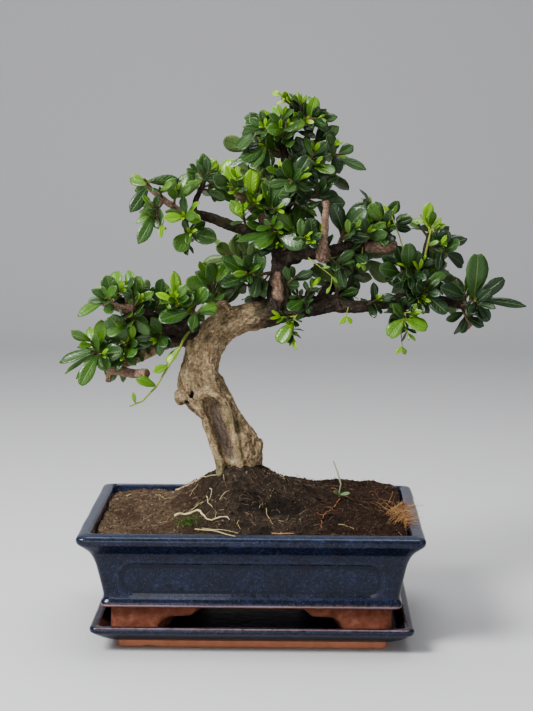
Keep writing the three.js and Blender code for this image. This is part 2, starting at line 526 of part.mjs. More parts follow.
// Every leafy shoot: the twig's two ends, leaves by rule with their length, seed, and the leaves
// that are placed one by one as [base, tip, width, roll]
const SHOOTS = {
  left_tip: [[-144, -12, 247], [-140, -20, 254], 0, 24, 1, [
    [[-140, -18, 255], [-174, -26, 245], 11, 10], [[-142, -14, 252], [-171, -16, 232], 8, 30],
    [[-139, -22, 249], [-154, -38, 224], 13, -25], [[-148, -18, 248], [-156, -30, 228], 7, -60],
    [[-139, -20, 257], [-135, -30, 281], 13, 5], [[-144, -12, 257], [-157, -4, 262], 11, 0],
    [[-137, -22, 249], [-117, -34, 254], 16, 20], [[-140, -20, 252], [-129, -34, 237], 14, 20]]],
  left_mid: [[-117, -8, 252], [-116, -19, 257], 3, 21, 2, [
    [[-114, -20, 258], [-128, -34, 285], 20, -10], [[-111, -17, 255], [-89, -22, 264], 14, 15],
    [[-119, -14, 257], [-133, -10, 270], 13, 0]]],
  left_end: [[-133, -27, 296], [-127, -28, 304], 6, 20, 3, [
    [[-130, -28, 300], [-155, -41, 287], 10, 0], [[-125, -26, 299], [-131, -30, 320], 14, 15],
    [[-124, -24, 300], [-117, -14, 316], 11, -20], [[-129, -29, 300], [-140, -36, 308], 7, 0]]],
  left_crown: [[-110, -18, 288], [-104, -21, 296], 7, 22, 4, [
    [[-104, -20, 299], [-103, -27, 320], 14, 10], [[-102, -21, 298], [-90, -28, 306], 8, 20]]],
  left_under: [[-114, -20, 288], [-112, -24, 279], 1, 22, 5, [
    [[-114, -24, 280], [-130, -36, 268], 15, 10], [[-111, -22, 279], [-94, -28, 280], 11, 0],
    [[-111, -20, 281], [-96, -4, 268], 14, 0]]],
  left_yellow: [[-84, -7, 274], [-66, -20, 296], 4, 20, 6, [
    [[-66, -22, 298], [-69, -32, 324], 11, 35], [[-73, -20, 297], [-87, -27, 305], 7, 0]]],
  left_big: [[-60, -8, 284], [-55, -19, 289], 7, 20, 7, [
    [[-55, -20, 290], [-85, -34, 281], 17, 8], [[-54, -19, 291], [-42, -26, 310], 13, 0]]],
  left_fill: [[-74, -3, 272], [-80, 12, 288], 9, 24, 8, []],
  left_behind: [[-126, -23, 293], [-124, -8, 301], 9, 23, 9, []],
  left_lower_behind: [[-122, 10, 238], [-134, 20, 250], 9, 24, 10, []],
  back_left_tuft: [[-97, 46, 271], [-108, 58, 280], 9, 28, 11, []],
  top_left_end: [[-90, -24, 395], [-97, -29, 405], 6, 19, 12, [
    [[-92, -29, 405], [-66, -26, 404], 10, 40], [[-89, -25, 401], [-111, -20, 406], 11, 0],
    [[-91, -26, 398], [-108, -38, 377], 12, -20], [[-92, -24, 399], [-108, -12, 395], 8, 0]]],
  top_left_drop: [[-80, -22, 386], [-88, -30, 374], 5, 19, 13, [
    [[-84, -26, 380], [-84, -38, 362], 13, 20], [[-88, -31, 374], [-101, -42, 350], 12, -20],
    [[-88, -30, 375], [-104, -34, 368], 6, 0], [[-85, -26, 380], [-100, -14, 370], 9, 0]]],
  top_left_up: [[-47, -7, 399], [-46, -8, 406], 1, 17, 14, [
    [[-47, -9, 404], [-70, -22, 391], 13, 0], [[-46, -8, 406], [-46, -14, 426], 12, 15],
    [[-45, -7, 403], [-31, -2, 405], 8, 0], [[-47, -6, 404], [-58, 8, 416], 8, 0]]],
  top_left_pair: [[-60, -16, 360], [-58, -18, 357], 0, 16, 15, [
    [[-59, -18, 358], [-69, -28, 342], 16, -15], [[-58, -18, 358], [-34, -28, 353], 17, 0],
    [[-59, -17, 359], [-44, -10, 367], 10, 0]]],
  top_left_behind: [[-50, -9, 391], [-46, 8, 400], 9, 24, 17, []],
  pale_stub: [[-15, -6, 391], [-21, -18, 399], 9, 15, 19, []],
  centre_bright: [[-2, -1, 378], [-4, -9, 388], 7, 17, 20, [
    [[-5, -8, 388], [-3, -18, 413], 15, 10], [[-2, -6, 386], [-17, -18, 376], 10, 0]]],
  knob_front: [[11, 0, 370], [14, -12, 380], 4, 21, 21, [
    [[11, -11, 379], [8, -23, 402], 7, 20], [[18, -12, 380], [27, -26, 402], 18, 0],
    [[14, -10, 381], [17, -20, 408], 9, 30]]],
  knob_low: [[14, 2, 357], [19, -12, 358], 3, 20, 22, [
    [[19, -12, 358], [1, -27, 345], 16, 25], [[21, -12, 356], [43, -28, 347], 18, 20],
    [[13, -10, 360], [-16, -22, 352], 8, 0]]],
  centre_left: [[18, -2, 322], [-6, -12, 318], 9, 21, 23, [
    [[-7, -12, 318], [-28, -25, 337], 16, 15], [[-7, -12, 316], [-30, -26, 314], 13, 10],
    [[-1, -12, 318], [8, -24, 336], 12, 0]]],
  upright_front: [[21, -6, 338], [41, -18, 355], 9, 22, 24, []],
  centre_left_low: [[-31, 1, 293], [-42, -10, 311], 9, 24, 25, []],
  limb_right_behind: [[70, 5, 296], [76, 18, 307], 9, 24, 26, []],
  limb_behind: [[-26, 10, 282], [-34, 26, 298], 9, 24, 27, []],
  limb_round: [[44, -4, 293], [44, -13, 299], 1, 13, 28, [
    [[44, -13, 299], [29, -27, 291], 14, 20]]],
  limb_hanging: [[38, -6, 284], [33, -13, 277], 0, 13, 29, [
    [[34, -12, 277], [20, -21, 260], 14, 10]]],
  crown_tip: [[32, 0, 466], [31, -3, 472], 9, 12, 30, []],
  crown_right: [[33, 0, 452], [45, -6, 461], 9, 20, 31, []],
  crown_left: [[19, 0, 440], [8, -3, 448], 9, 22, 32, [
    [[8, -3, 448], [-11, -10, 451], 7, 0], [[8, -2, 449], [-5, -7, 463], 9, 0]]],
  crown_front: [[28, 3, 436], [22, -20, 448], 9, 21, 33, []],
  upper_left: [[25, 4, 424], [8, -2, 434], 4, 20, 35, [
    [[9, -1, 436], [-14, -14, 421], 14, 10], [[10, -3, 433], [-4, -20, 415], 13, 15],
    [[8, 0, 434], [-29, -4, 412], 6, 0]]],
  upper_right: [[46, 1, 437], [72, -2, 424], 4, 17, 36, [
    [[73, -3, 424], [97, -12, 414], 9, 15], [[71, -3, 426], [64, -14, 444], 13, 10],
    [[72, 0, 425], [87, 8, 434], 11, 0]]],
  upper_front: [[26, 2, 398], [34, -28, 407], 9, 24, 37, []],
  upper_middle: [[26, 3, 412], [52, -20, 418], 9, 23, 38, []],
  crown_back: [[41, 36, 401], [48, 46, 408], 9, 26, 39, []],
  top_back: [[5, 38, 422], [0, 48, 430], 9, 24, 40, []],
  right_middle: [[27, 3, 380], [57, -14, 391], 9, 23, 41, [
    [[52, -9, 388], [36, -24, 399], 15, 0]]],
  tall_stub_leaves: [[53, -13, 342], [50, -26, 353], 3, 17, 42, [
    [[50, -21, 350], [48, -31, 372], 15, 5]]],
  right_upper_big: [[72, -14, 343], [79, -17, 360], 9, 23, 43, [
    [[76, -17, 358], [69, -26, 384], 16, 5], [[80, -17, 360], [97, -26, 382], 18, -10],
    [[78, -16, 362], [99, -2, 386], 12, 0]]],
  right_upper_tip: [[107, -3, 353], [117, -10, 362], 9, 21, 44, [
    [[118, -10, 363], [119, -18, 378], 10, 0]]],
  right_upper_behind: [[96, -6, 345], [100, 12, 354], 9, 24, 45, []],
  right_stem_tip: [[154, -4, 353], [155, -6, 365], 9, 15, 46, []],
  right_stem_side: [[152, -1, 344], [162, 0, 346], 7, 21, 47, [
    [[161, 0, 345], [189, 2, 353], 11, 0]]],
  right_stem_left: [[150, 4, 316], [134, -14, 328], 9, 23, 48, []],
  right_limb_front: [[142, 6, 299], [146, -10, 308], 9, 23, 49, [
    [[147, -11, 306], [171, -22, 288], 14, 20]]],
  right_limb_tip: [[188, 3, 292], [194, -6, 298], 4, 23, 50, [
    [[192, -8, 298], [199, -22, 341], 22, -5], [[189, -6, 298], [165, -20, 312], 14, 0],
    [[196, -6, 298], [222, -14, 317], 14, 30], [[194, -6, 297], [208, -14, 280], 13, 20],
    [[196, -4, 299], [243, -2, 294], 9, 0]]],
  back_far_right_tuft: [[149, 37, 311], [158, 45, 318], 9, 26, 51, []],
  back_low_tuft: [[-13, 64, 321], [-20, 74, 330], 10, 28, 52, []],
  back_right_tuft: [[87, 56, 321], [94, 67, 330], 10, 28, 53, []],
  back_upper_tuft: [[-2, 53, 385], [-6, 63, 394], 9, 27, 54, []],
  trio: [[131, -1, 289], [132, -14, 281], 0, 13, 55, [
    [[132, -14, 281], [118, -20, 266], 14, 10], [[133, -14, 281], [154, -20, 275], 14, 0],
    [[132, -14, 282], [124, -24, 296], 11, 0]]],
};

// The long pale shoot that hangs in front of the trunk
const HANGING = {
  stem: [[-59, -3, 268, 1.4], [-66, -25, 256, 1.1], [-76, -32, 240, 1], [-87, -38, 222, 0.9],
    [-98, -44, 211, 0.8], [-109, -48, 207, 0.7]],
  leaves: [[[-67, -25, 255], [-78, -31, 243], 9, 10], [[-77, -32, 241], [-89, -39, 237], 8, 0],
    [[-87, -38, 222], [-102, -46, 232], 11, 20], [[-104, -46, 209], [-106, -48, 219], 4, 0]],
};

const WEED = {
  stem: [[77, -6, 108, 0.8], [78, -6, 128, 0.7], [74, -5, 142, 0.6], [71, -5, 151, 0.5]],
  leaves: [[[78, -6, 123], [88, -10, 128], 5, 0], [[78, -6, 122], [71, -13, 129], 5, 0]],
};

function placedLeaf([base, tip, width, roll]) {
  return { base: V(...base), tip: V(...tip), width, roll };
}

// A twig as lines of [start, end, radius, end radius]. It forks to the right or the left.
function twigLines(root, end, count, seed) {
  const [start, stop] = [V(...root), V(...end)];
  const lines = [[start, stop, 1.6, 1.3]];
  if (count < FORK.leaves) return lines;
  const along = stop.clone().sub(start);
  const side = V(along.z, -0.4 * along.length(), -along.x).normalize();
  const turn = seed % 2 ? FORK.turn : -FORK.turn;
  const aim = along.clone().normalize().addScaledVector(side, turn).add(V(0, 0, FORK.rise));
  const from = start.clone().lerp(stop, FORK.share);
  lines.push([from, from.clone().addScaledVector(aim.normalize(), FORK.length), 1.2, 1]);
  return lines;
}

// Leaves by rule go round the twig's lines and take the place with the most room of a few tries
function ruledLeaves(lines, count, length, seed, taken) {
  const draw = draws(seed);
  const leaves = [];
  for (let i = 0; i < count; i += 1) {
    const [start, stop] = lines[i % lines.length];
    const turn = Math.floor(i / lines.length) + 0.5;
    const along = stop.clone().sub(start).normalize();
    const side = ASIDE.clone().addScaledVector(along, -ASIDE.dot(along)).normalize();
    const up = along.clone().cross(side);
    const share = FIRST_LEAF + (LAST_LEAF - FIRST_LEAF) * min(turn * lines.length / count, 1);
    const base = start.clone().lerp(stop, share);
    const spread = (88 - 55 * share + 20 * (draw() - 0.5)) * PI / 180;
    const size = length * (0.8 + 0.4 * draw());
    const width = size * (0.52 + 0.12 * draw());
    const roll = 60 * (draw() - 0.5);
    const around = draw() * 2 * PI;
    let best = null;
    for (let k = 0; k < LEAF.tries; k += 1) {
      const angle = around + (k / LEAF.tries) * 2 * PI;
      const aim = along.clone().multiplyScalar(cos(spread))
        .addScaledVector(side, sin(spread) * cos(angle))
        .addScaledVector(up, sin(spread) * sin(angle));
      aim.z += 0.28;
      aim.normalize();
      const leaf = { base, tip: base.clone().addScaledVector(aim, size), width, roll };
      let room = 1e6;
      for (const point of leafPoints(leaf)) {
        for (const [other, radius] of taken) room = min(room, point.distanceTo(other) - radius);
      }
      if (!best || room > best.room) best = { leaf, room };
    }
    if (best.room > LEAF.room) {
      leaves.push(best.leaf);
      for (const point of leafPoints(best.leaf)) taken.push([point, 0.3 * width]);
    }
  }
  return leaves;
}

// Points along the wood, with its radius, so that leaves keep out of it
function woodPoints() {
  const points = TRUNK.map(([x, y, z, wide]) => [V(x, y, z), wide]);
  for (const [, ...stations] of Object.values(STEMS)) {
    for (let i = 0; i + 1 < stations.length; i += 1) {
      const [a, b] = [stations[i], stations[i + 1]];
      for (const share of [0, 0.5]) {
        const at = V(...a.slice(0, 3)).lerp(V(...b.slice(0, 3)), share);
        points.push([at, a[3] + (b[3] - a[3]) * share]);
      }
    }
  }
  return points;
}

function growShoots() {
  const taken = woodPoints();
  for (const [, , , , , placed] of Object.values(SHOOTS)) {
    for (const row of placed) {
      const leaf = placedLeaf(row);
      for (const point of leafPoints(leaf)) taken.push([point, 0.3 * leaf.width]);
    }
  }
  const shoots = {};
  for (const [name, [root, end, count, length, seed, placed]] of Object.entries(SHOOTS)) {
    const lines = twigLines(root, end, count, seed);
    const ruled = ruledLeaves(lines, count, length, seed, taken);
    shoots[name] = { lines, leaves: [...placed.map(placedLeaf), ...ruled] };
  }
  shoots.hanging_shoot = { lines: linesOf(HANGING.stem), leaves: HANGING.leaves.map(placedLeaf) };
  return shoots;
}

const linesOf = (stations) => stations.slice(1).map(([x, y, z, radius], i) => (
  [V(...stations[i].slice(0, 3)), V(x, y, z), stations[i][3], radius]
));

function shootSolid({ lines, leaves }, extra = 0) {
  let shoot = null;
  for (const [start, stop, radius, endRadius] of lines) {
    const line = stem([[...start, radius], [...stop, endRadius]], 3, extra);
    shoot = shoot ? shoot.add(line) : line;
  }
  for (const leaf of leaves) {
    shoot = shoot.add(leafSolid({ ...leaf, base: nearestOn(lines, leaf.base) }, extra));
  }
  return shoot;
}

function nearestOn(lines, point) {
  let best = null;
  for (const [start, stop] of lines) {
    const line = new THREE.Line3(start, stop);
    const share = min(max(line.closestPointToPointParameter(point, false), FIRST_LEAF), LAST_LEAF);
    const near = line.at(share, V(0, 0, 0));
    if (!best || near.distanceTo(point) < best.distanceTo(point)) best = near;
  }
  return best;
}

const overlap = (a, b) => (
  [0, 1, 2].every((axis) => a.min[axis] < b.max[axis] && b.min[axis] < a.max[axis])
);

// Each shoot is seated in the wood and kept clear of the shoots before it
function makeShoots() {
  const shoots = growShoots();
  const grownWood = makeWood(CLEAR);
  const made = {};
  const grown = [];
  for (const [name, shoot] of Object.entries(shoots)) {
    let body = shootSolid(shoot).subtract(grownWood);
    for (const other of grown) {
      if (overlap(other.boundingBox(), body.boundingBox())) body = body.subtract(other);
    }
    made[name] = largest(body);
    grown.push(shootSolid(shoot, CLEAR));
  }
  return made;
}

// The parts together

const group = new THREE.Group();

function addPart(name, manifold, colour, roughness) {
  const material = new THREE.MeshStandardMaterial({ color: colour, roughness, metalness: 0 });
  const mesh = new THREE.Mesh(geometryOf(manifold), material);
  mesh.name = name;
  group.add(mesh);
}

addPart('tray', makeTray(), COLOURS.glaze, 0.25);
addPart('pot', makePot(), COLOURS.glaze, 0.3);
addPart('drain_screen_left', makeScreen(-1), COLOURS.mesh, 0.6);
addPart('drain_screen_right', makeScreen(1), COLOURS.mesh, 0.6);

const weed = shootSolid({ lines: linesOf(WEED.stem), leaves: WEED.leaves.map(placedLeaf) });
const screenPockets = [-1, 1].map((side) => {
  const x = POT.centreX + side * DRAIN.x;
  const half = SCREEN.half + CLEAR;
  const top = POT.floorZ + 2 * CLEAR + SCREEN.thick;
  return box(x - half, x + half, POT.centreY - half, POT.centreY + half, 40, top);
});
const grownWeed = stem(WEED.stem, 5, CLEAR);
addPart('soil', makeSoil(makeWood(CLEAR).add(grownWeed), screenPockets), COLOURS.soil, 0.95);
addPart('tree_wood', makeWood(), COLOURS.bark, 0.85);
addPart('weed_sprout', weed, COLOURS.weed, 0.6);

const YOUNG = ['crown_tip', 'right_stem_tip', 'left_yellow', 'pale_stub', 'hanging_shoot'];
for (const [name, body] of Object.entries(makeShoots())) {
  addPart(`shoot_${name}`, body, YOUNG.includes(name) ? COLOURS.young : COLOURS.leaf, 0.35);
}

export default group;
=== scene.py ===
# %% [markdown]
# # A Fukien tea bonsai in a glazed pot
#
# This lesson dresses a finished model of a small bonsai: the tree, its blue glazed pot and the tray
# that the pot stands on. The model that is loaded first is plain and faceted, but its sizes are right.
# Each step below looks at one real piece, says how it could be made, and replaces its plain solid with
# a fine mesh that keeps the same form, or gives it a better finish.
#
# Lengths are written in millimetres, as a maker would measure them, and turned into metres once.

import math

import bpy
import numpy as np
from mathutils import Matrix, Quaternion, Vector


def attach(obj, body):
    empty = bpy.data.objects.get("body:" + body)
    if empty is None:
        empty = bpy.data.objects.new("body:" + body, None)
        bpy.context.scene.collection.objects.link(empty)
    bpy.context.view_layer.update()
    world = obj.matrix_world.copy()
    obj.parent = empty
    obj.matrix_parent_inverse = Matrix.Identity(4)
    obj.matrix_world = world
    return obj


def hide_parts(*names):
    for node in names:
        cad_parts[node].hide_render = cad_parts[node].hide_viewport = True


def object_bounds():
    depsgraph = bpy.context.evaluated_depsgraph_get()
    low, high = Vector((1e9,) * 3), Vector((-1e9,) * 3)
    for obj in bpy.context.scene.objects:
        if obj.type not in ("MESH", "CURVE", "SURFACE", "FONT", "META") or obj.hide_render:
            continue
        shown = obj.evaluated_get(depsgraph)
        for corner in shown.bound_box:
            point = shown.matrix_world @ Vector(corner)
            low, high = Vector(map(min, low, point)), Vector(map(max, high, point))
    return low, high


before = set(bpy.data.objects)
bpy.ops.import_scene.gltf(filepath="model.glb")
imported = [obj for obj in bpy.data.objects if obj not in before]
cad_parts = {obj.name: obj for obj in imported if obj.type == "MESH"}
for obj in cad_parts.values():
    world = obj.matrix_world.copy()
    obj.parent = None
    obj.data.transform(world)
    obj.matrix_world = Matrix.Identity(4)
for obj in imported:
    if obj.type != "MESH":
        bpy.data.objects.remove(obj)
cad_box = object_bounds()
MM = 0.001


def add_object(name, data, turn=None):
    """A new object in the scene, turned by a quaternion if one is given."""
    thing = bpy.data.objects.new(name, data)
    bpy.context.scene.collection.objects.link(thing)
    if turn is not None:
        thing.rotation_mode = "QUATERNION"
        thing.rotation_quaternion = turn
    return thing


# %% [markdown]
# ## The camera
#
# The photograph looks slightly down on the tree from in front, from about 1.6 metres away. The place
# and the angles below were found by laying the pot's known rim over its picture. The lens follows from
# the picture's long side of 711 pixels and the focal length, also in pixels.

# %% Camera at the photograph's view
LONG_SIDE = 711
FOCAL_PIXELS = 1778.5
SENSOR_WIDTH = 36.0
CAMERA_PLACE = (38.7, -1585.0, 460.7)
PITCH, YAW, ROLL = (math.radians(angle) for angle in (7.707, 1.033, -0.213))

aim = Vector((-math.sin(YAW) * math.cos(PITCH), math.cos(YAW) * math.cos(PITCH), -math.sin(PITCH)))
camera_data = bpy.data.cameras.new("camera")
camera_data.sensor_fit = "AUTO"
camera_data.sensor_width = SENSOR_WIDTH
camera_data.lens = FOCAL_PIXELS * SENSOR_WIDTH / LONG_SIDE
camera = add_object("camera", camera_data, Quaternion(aim, ROLL) @ aim.to_track_quat("-Z", "Y"))
camera.location = Vector(CAMERA_PLACE) * MM
bpy.context.scene.camera = camera
print("lens", round(camera_data.lens, 2), "mm")

# %% [markdown]
# ## Materials as expressions
#
# A finish such as glaze or bark is a sum of patterns: a slow change of colour, fine specks, a darker
# edge. Wiring such sums by hand is slow to read. The class below wraps an output of a node, so that
# `0.3 * noise + edge` adds the Math nodes by itself. A second class holds the tree of nodes, for a
# material or for a Geometry Nodes recipe, and has one method that adds any other node.

# %% Wires and benches
def math_step(operation, turned=False):
    """A method that adds one Math node. A turned one takes its values the other way round."""
    def step(wire, *others):
        values = (*others, wire) if turned else (wire, *others)
        return wire.bench.node("ShaderNodeMath", {"operation": operation}, dict(enumerate(values)))
    return step


class Wire:
    """One output of a node. Sums and products of wires add the Math nodes they need."""

    __add__, __sub__, __mul__, __pow__ = map(math_step, ("ADD", "SUBTRACT", "MULTIPLY", "POWER"))
    __radd__, __rsub__, __rmul__ = (math_step(name, True) for name in ("ADD", "SUBTRACT", "MULTIPLY"))
    over, least, most, size, sine, part = map(
        math_step, ("DIVIDE", "MINIMUM", "MAXIMUM", "ABSOLUTE", "SINE", "FRACT"))

    def __init__(self, bench, socket):
        self.bench = bench
        self.socket = socket

    def rise(self, low, high):
        """0 below low and 1 above high, with a soft step between. A low above high turns it round."""
        inputs = {0: self, 1: min(low, high), 2: max(low, high)}
        step = self.bench.node("ShaderNodeMapRange", {"interpolation_type": "SMOOTHSTEP"}, inputs)
        return step if low < high else 1 - step


class Bench:
    """A tree of nodes that is written as Python expressions."""

    def __init__(self, tree):
        self.tree = tree

    def node(self, kind, settings=None, inputs=None, out=0):
        """Adds a node: first its settings, then the values or wires of its inputs."""
        node = self.tree.nodes.new(kind)
        for name, value in (settings or {}).items():
            setattr(node, name, value)
        for name, value in (inputs or {}).items():
            self.feed(node.inputs[name], value)
        return Wire(self, node.outputs[out])

    def feed(self, socket, value):
        if isinstance(value, Wire):
            self.tree.links.new(value.socket, socket)
        elif socket.type == "RGBA":
            socket.default_value = (*value, 1.0)
        else:
            socket.default_value = value

    def vector(self, operation, first, second):
        inputs = {0: first, "Scale" if operation == "SCALE" else 1: second}
        return self.node("ShaderNodeVectorMath", {"operation": operation}, inputs)

    def split(self, vector):
        """The three numbers of a vector."""
        outputs = self.node("ShaderNodeSeparateXYZ", None, {0: vector}).socket.node.outputs
        return [Wire(self, output) for output in outputs]

    def noise(self, size, detail, rough, swirl=0.0, at=None):
        """Cloudy noise from 0 to 1, with spots of about the given size in millimetres."""
        inputs = {"Vector": at or self.place, "Scale": 1.0 / (size * MM), "Detail": detail}
        return self.node("ShaderNodeTexNoise", None, {**inputs, "Roughness": rough, "Distortion": swirl})

    def cells(self, size, at):
        """Distance to the nearest of many scattered points, as a share of their spacing."""
        return self.node("ShaderNodeTexVoronoi", None, {"Vector": at, "Scale": 1.0 / (size * MM)})


class Finish(Bench):
    """A material around one Principled shader, with patterns on Object coordinates."""

    def __init__(self, name, **constants):
        self.material = bpy.data.materials.new(name)
        self.material.use_nodes = True
        super().__init__(self.material.node_tree)
        self.shader = self.tree.nodes["Principled BSDF"]
        self.place = self.node("ShaderNodeTexCoord", out=3)
        self.set(**constants)

    def set(self, **values):
        for word, value in values.items():
            self.feed(self.shader.inputs[word.replace("_", " ")], value)
        return self.material

    def attribute(self, name, out=2):
        return self.node("ShaderNodeAttribute", {"attribute_name": name}, out=out)

    def stretched(self, x, y, z):
        return self.node("ShaderNodeMapping", None, {"Vector": self.place, "Scale": (x, y, z)})

    def mix(self, first, second, share):
        return self.node("ShaderNodeMix", {"data_type": "RGBA"}, {0: share, 6: first, 7: second}, 2)

    def ramp(self, value, *stops):
        """A colour for a value, from stops of a value and the colour there."""
        wire = self.node("ShaderNodeValToRGB", None, {0: value})
        elements = wire.socket.node.color_ramp.elements
        while len(elements) < len(stops):
            elements.new(0.5)
        for element, (place, colour) in zip(elements, stops):
            element.position = place
            element.color = (*colour, 1.0)
        return wire

    def bump(self, height, depth):
        """Relief whose height runs from 0 to 1 over the given depth in millimetres."""
        return self.node("ShaderNodeBump", None, {"Distance": depth * MM, "Height": height})


print("wires and benches ready")

# %% [markdown]
# ## Small helpers
#
# Most pieces start as rings of points that are skinned into a closed surface, as a potter's coil or a
# branch is. `ripple` is a smooth unevenness made of a few crossing waves with a fixed seed, so each run
# gives the same piece.

# %% Helpers for meshes
def unit(vector):
    return vector / np.linalg.norm(vector)


def square_to(along, side):
    """The direction nearest to side that is square to along."""
    return unit(side - along * (side @ along))


def swing(first, second, angle):
    """The direction at an angle from the first of two square directions towards the second."""
    return first * math.cos(angle) + second * math.sin(angle)


def circle(count):
    """Even angles round a circle."""
    return np.arange(count) * 2 * math.pi / count


def soft_step(value, low, high):
    t = np.clip((value - low) / (high - low), 0, 1)
    return t * t * (3 - 2 * t)


def flat_place(x, y):
    return np.column_stack([x, y, np.zeros(len(x))])


def ripple(points, size, seed):
    """Smooth unevenness from about -1 to 1, with bumps of about the given size, for each point."""
    waves = 7
    draw = np.random.default_rng(seed)
    total = np.zeros(len(points))
    for _ in range(waves):
        way = unit(draw.normal(size=3))
        length = size * draw.uniform(1.6, 3.2)
        total += np.sin(points @ way * 2 * math.pi / length + draw.uniform(0, 2 * math.pi))
    return total / waves ** 0.5 / 1.4


def make_piece(name, points, faces, *materials, edges=()):
    """A mesh object from points in millimetres."""
    mesh = bpy.data.meshes.new(name)
    mesh.from_pydata((np.asarray(points) * MM).tolist(), edges, faces)
    mesh.shade_smooth()
    for material in materials:
        mesh.materials.append(material)
    return add_object(name, mesh)


def points_of(piece):
    """The piece's points in millimetres."""
    flat = np.empty(len(piece.data.vertices) * 3)
    piece.data.vertices.foreach_get("co", flat)
    return flat.reshape(-1, 3) / MM


def move_points(piece, points):
    piece.data.vertices.foreach_set("co", (points * MM).ravel())
    piece.data.update()


def mark(piece, **marks):
    """Keeps numbers or vectors for each point of a piece, which its material can read."""
    for name, values in marks.items():
        values = np.asarray(values, dtype=np.float32)
        kind, field = ("FLOAT", "value") if values.ndim == 1 else ("FLOAT_VECTOR", "vector")
        piece.data.attributes.new(name, kind, "POINT").data.foreach_set(field, values.ravel())


def settle(piece):
    """Turns what a piece's modifiers make into its own plain mesh."""
    evaluated = piece.evaluated_get(bpy.context.evaluated_depsgraph_get())
    mesh = bpy.data.meshes.new_from_object(evaluated)
    piece.modifiers.clear()
    piece.data = mesh
    mesh.name = piece.name


def add_modifier(piece, kind, **settings):
    modifier = piece.modifiers.new(kind.lower(), kind)
    for name, value in settings.items():
        setattr(modifier, name, value)


def cut_away(piece, tool):
    """Cuts one closed body out of another and removes it."""
    add_modifier(piece, "BOOLEAN", operation="DIFFERENCE", solver="MANIFOLD", object=tool)
    bpy.context.view_layer.update()
    settle(piece)
    bpy.data.objects.remove(tool)


def bridge(low, high):
    """Quads between two rings, given as the numbers of their points."""
    return np.column_stack([low, np.roll(low, -1), np.roll(high, -1), high]).tolist()


def skin_faces(rings, count, start=0):
    """Quads between rings of the same number of points, and a face over each end."""
    places = start + np.arange(rings * count).reshape(rings, count)
    faces = [face for low, high in zip(places, places[1:]) for face in bridge(low, high)]
    return faces + [places[0, ::-1].tolist(), places[-1].tolist()]


def finish_piece(piece, slot, *nodes):
    """Says what a finished piece rides on and hides the plain parts that it stands for. The slot is not used.
    """
    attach(piece, "root")
    if nodes:
        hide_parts(*nodes)
    print(piece.name, len(piece.data.polygons), "faces")


print("helpers ready")

# %% [markdown]
# ## Floor, backdrop and light
#
# The object stands on a plain pale floor that curves up behind it, under large soft lamps: one high in
# front on the left, which draws the white reflections on leaves and glaze, a weaker one on the right,
# one overhead that lights the crown, and a low one in front for the clay under the tray's rim. Large lamps
# give soft shadow edges. Places of lamps are in metres.

# %% Studio
FLOOR_REACH, BACKDROP_Y, BACKDROP_CURVE, BACKDROP_HEIGHT = 4000.0, 1900.0, 700.0, 3000.0
CROWN_MIDDLE = (0.0, 0.0, 0.30)
# Each lamp's name, place, target, width and power
LAMPS = [
    ("key_lamp", (-1.15, -1.0, 1.45), CROWN_MIDDLE, 0.75, 50.0),
    ("fill_lamp", (1.5, -1.3, 0.8), CROWN_MIDDLE, 1.2, 5.0),
    ("low_lamp", (-0.5, -1.9, 0.22), (0.0, 0.0, 0.05), 0.9, 7.0),
    ("top_lamp", (0.1, 0.35, 1.7), CROWN_MIDDLE, 1.1, 16.0),
]


def make_floor():
    angles = np.linspace(0, math.pi / 2, 13)
    curve = zip(BACKDROP_Y + BACKDROP_CURVE * np.sin(angles), BACKDROP_CURVE * (1 - np.cos(angles)))
    profile = [(-FLOOR_REACH, 0.0), *curve, (BACKDROP_Y + BACKDROP_CURVE, BACKDROP_HEIGHT)]
    points = [(side * FLOOR_REACH, y, z) for y, z in profile for side in (-1, 1)]
    faces = [(2 * i, 2 * i + 1, 2 * i + 3, 2 * i + 2) for i in range(len(profile) - 1)]
    paper = Finish("pale_paper", Roughness=0.9, Base_Color=(0.60, 0.60, 0.61))
    floor = make_piece("studio_floor", points, faces, paper.material)


make_floor()
for lamp_name, place, target, width, power in LAMPS:
    lamp = bpy.data.lights.new(lamp_name, "AREA")
    lamp.shape = "SQUARE"
    lamp.size = width
    lamp.energy = power
    add_object(lamp_name, lamp, (Vector(target) - Vector(place)).to_track_quat("-Z", "Y")).location = place
world = bpy.data.worlds.new("studio_air")
world.use_nodes = True
background = world.node_tree.nodes["Background"]
background.inputs["Color"].default_value = (0.84, 0.85, 0.87, 1.0)
background.inputs["Strength"].default_value = 0.30
bpy.context.scene.world = world
bpy.context.scene.view_settings.look = "AgX - Medium High Contrast"
print("floor, backdrop and", len(LAMPS), "lamps")

# %% [markdown]
# ## The pot's outline
#
# A rectangular bonsai pot is pressed or cast from clay, so it has one wall all round with soft corners:
# a small moulding at the foot of the wall, a leaning side, a cove, and a broad lip that sheds water
# outwards. One profile of half widths and heights, swept round a rounded rectangle, gives all of it. Its
# corners are eased with short curves, because fired glaze never stands on a sharp edge.

# %% Sizes of pot and tray
POT = {"x": -1.0, "y": 5.0, "half": 150.0, "deep": 114.0, "corner": 7.0, "base": 14.3, "rim": 105.0,
       "floor": 46.0, "under": 37.0, "lip": 11.5}
POT_CENTRE = (POT["x"], POT["y"])
INSIDE_LOW = 123.0
PANEL = {"low": 48.0, "high": 77.0, "face": 132.2, "inset": 19.0, "depth": 1.3, "round": 0.8}
DRAIN = {"x": 62.0, "z": 41.0, "radius": 11.0, "deep": 30.0, "sides": 40}
FOOT = {"half": 123.0, "deep": 86.5, "wall": 16.0, "corner": 8.0, "front": 84.0, "side": 50.0}
# Arch between two feet: share of its half width, then share of its height, from its middle to a foot
ARCH = [(0.47, 1.0), (0.56, 0.84), (0.64, 0.58), (0.86, 0.53), (0.93, 0.36), (1.0, 0.0)]
TRAY = {"half": 140.0, "deep": 105.0, "corner": 6.0}


